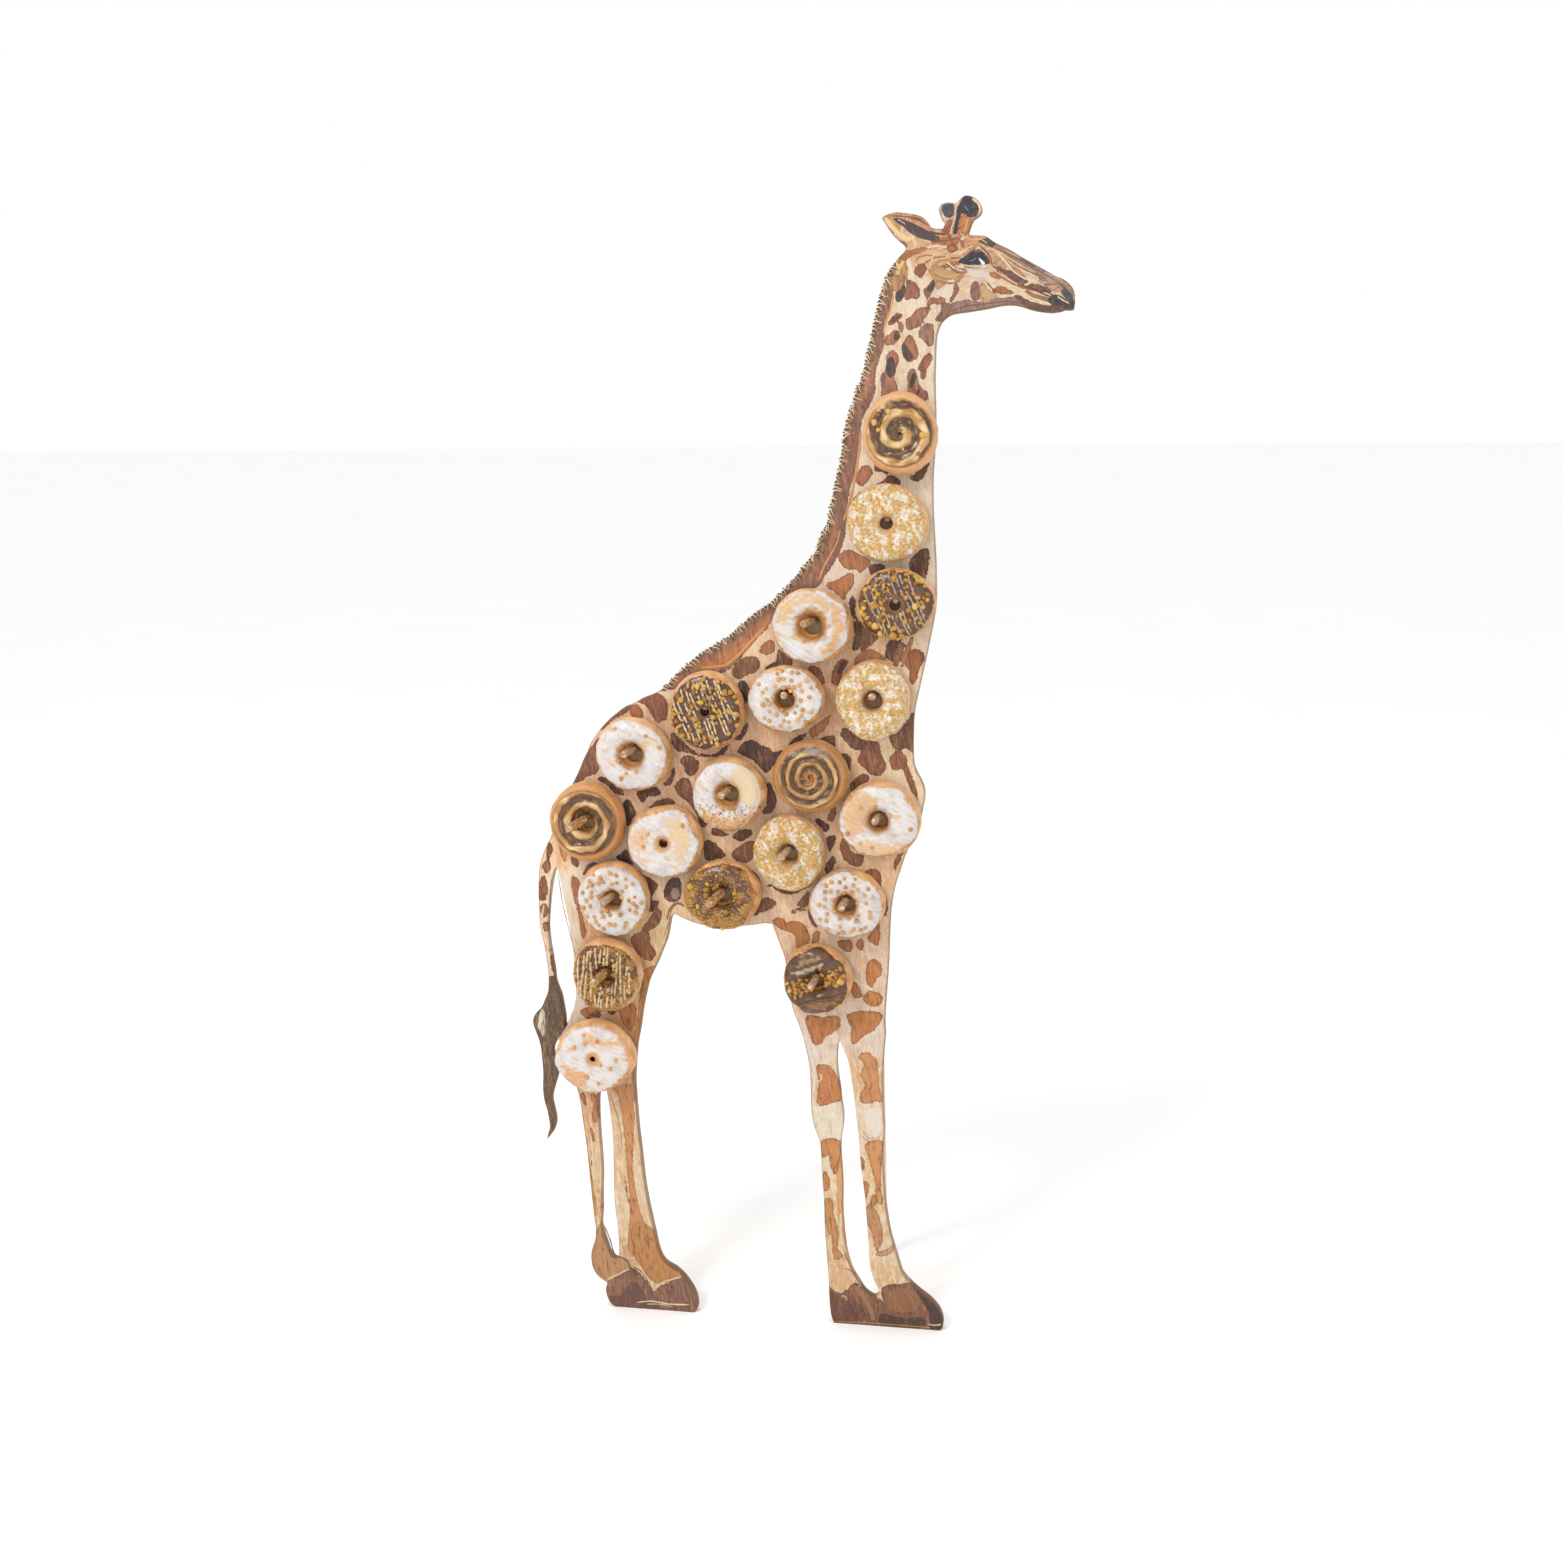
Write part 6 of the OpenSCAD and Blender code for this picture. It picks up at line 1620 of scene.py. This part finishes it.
def make_doughnuts():
    looks = {"swirl": swirl_look, "crumb": crumb_look, "chocolate": chocolate_look,
             "white": white_look}
    glazes = {kind: doughnut_glaze(BODY_SLOT[kind], deep) for kind, deep in (
        ("swirl", (0.34, 0.15, 0.05)), ("crumb", (0.62, 0.36, 0.13)),
        ("chocolate", (0.18, 0.08, 0.035)), ("white", (0.72, 0.46, 0.24)))}
    column = np.arange(COLS * ROWS).reshape(COLS, ROWS)
    beside, above = np.roll(column, -1, 0), np.roll(column, -1, 1)
    quads = np.stack([column, beside, np.roll(beside, -1, 1), above], -1).reshape(-1, 4)
    for number, look in DOUGHNUTS.items():
        ring = Ring(number, look)
        looks[look["kind"]](ring)
        ring.settle()
        shape = Shape()
        shape.add(ring.to_world(ring.places.reshape(-1, 3)), quads,
                  np.clip(ring.tint.reshape(-1, 3), 0, 1), ring.gloss.ravel())
        add_toppings(shape, ring)
        name = "doughnut_%02d" % number
        piece = shape.make("iced_" + name, glazes[look["kind"]], name)
        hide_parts(name)
        if number in CRUSTED_PEGS:
            crumb_peg(ring, number, glazes["chocolate"])


# ---------------------------------------------------------------- pegs, strut, hinge and screws
def peg_wood():
    """Wood under a thin, patchy coat of white and caramel glaze."""
    s = Shader("peg_wood")
    fibres = s.noise(600, 3, s.stretch(1, 0.12, 1), 0.6)
    patch = s.noise(230, 3, None, 0.6)
    colour = s.mix(s.ease(fibres, 0.3, 0.7), s.chart("a8763e"), s.chart("c6965a"))
    colour = s.mix(s.ease(patch, 0.50, 0.64), colour, s.chart("dcd5cc"))
    colour = s.mix(s.ease(patch, 0.42, 0.32, 0.0, 0.7), colour, s.chart("7a5230"))
    rough = s.ease(s.noise(400, 3), 0.3, 0.7, 0.18, 0.4)
    return s.finish(colour, rough, s.bump(patch, 0.4, 0.0006), coat_weight=0.6,
                    coat_roughness=0.12)


def bare_plywood():
    s = Shader("bare_plywood")
    grain = s.noise(90, 5, s.stretch(1, 1, 0.06), 0.6, 1.2)
    colour = s.mix(s.ease(grain, 0.35, 0.65), (0.58, 0.42, 0.26), (0.74, 0.60, 0.42))
    return s.finish(colour, s.ease(grain, 0.3, 0.7, 0.6, 0.75), s.bump(grain, 0.3, 0.0003))


def steel(name, light, rough):
    s = Shader(name)
    wear = s.noise(500, 4, None, 0.6)
    colour = s.mix(s.ease(wear, 0.35, 0.7), (light * 0.8, light * 0.8, light * 0.78),
                   (light, light, light))
    return s.finish(colour, s.ease(wear, 0.3, 0.7, rough, rough + 0.15),
                    s.bump(wear, 0.15, 0.0001), metallic=1.0)


def dress_cad_nodes():
    """Materials for the CAD nodes that stay as they are."""
    chosen = {"peg": peg_wood(), "screw": steel("screw_steel", 0.6, 0.3),
              "hinge": steel("hinge_steel", 0.55, 0.35), "wood": bare_plywood()}
    for name, node in NODES.items():
        kind = next((k for k in ("peg", "screw", "hinge") if k in name), "wood")
        node.data.materials.clear()
        node.data.materials.append(chosen[kind])


# ---------------------------------------------------------------- camera, floor and light
def make_camera():
    """From the right and a little above, in the board's own plane and normal."""
    yaw, pitch = math.radians(9.6), math.radians(8.3)
    aim = world(-9.1, 616)
    reach = 1959.2 * SCALE
    lean = Matrix.Rotation(-LEAN, 3, "X")
    forward = lean @ Vector((-math.sin(yaw) * math.cos(pitch), math.cos(yaw) * math.cos(pitch),
                             -math.sin(pitch)))
    right = lean @ Vector((math.cos(yaw), math.sin(yaw), 0))
    data = bpy.data.cameras.new("camera")
    camera = bpy.data.objects.new("camera", data)
    bpy.context.scene.collection.objects.link(camera)
    turn = Matrix((right, right.cross(forward), -forward)).transposed()
    camera.matrix_world = Matrix.Translation(aim - forward * reach) @ turn.to_4x4()
    data.sensor_width = 36
    data.lens = 41.6
    data.clip_end = 60
    bpy.context.scene.camera = camera


def make_floor():
    bpy.ops.mesh.primitive_plane_add(size=40)
    floor = bpy.context.object
    floor.name = "floor"
    s = Shader("studio_floor")
    soft = s.ease(s.noise(3, 2), 0.3, 0.7)
    white = s.mix(soft, (0.95, 0.95, 0.95), (0.96, 0.96, 0.96))
    floor.data.materials.append(s.finish(white, 0.9))


def soft_box(name, place, aim, size, power, colour):
    data = bpy.data.lights.new(name, "AREA")
    data.energy, data.size, data.color = power, size, colour
    lamp = bpy.data.objects.new(name, data)
    lamp.location = place
    lamp.rotation_euler = (Vector(aim) - Vector(place)).to_track_quat("-Z", "Y").to_euler()
    bpy.context.scene.collection.objects.link(lamp)


def make_light():
    soft_box("key", (-1.5, -2.2, 2.9), (0, 0, 0.7), 1.0, 50, (1.0, 0.98, 0.95))
    soft_box("fill", (2.2, -2.6, 1.6), (0, 0, 0.6), 2.0, 9, (0.95, 0.97, 1.0))
    soft_box("front", (0.5, -3.4, 1.1), (0, 0, 0.6), 1.6, 9, (1.0, 0.97, 0.93))
    sky = bpy.data.worlds.new("studio")
    bpy.context.scene.world = sky
    sky.use_nodes = True
    background = sky.node_tree.nodes["Background"]
    background.inputs["Color"].default_value = (1, 1, 1, 1)
    background.inputs["Strength"].default_value = 1.0
    bpy.context.scene.view_settings.view_transform = "Standard"


make_camera()
make_floor()
make_light()
dress_cad_nodes()
make_board()
make_doughnuts()
bpy.context.view_layer.update()
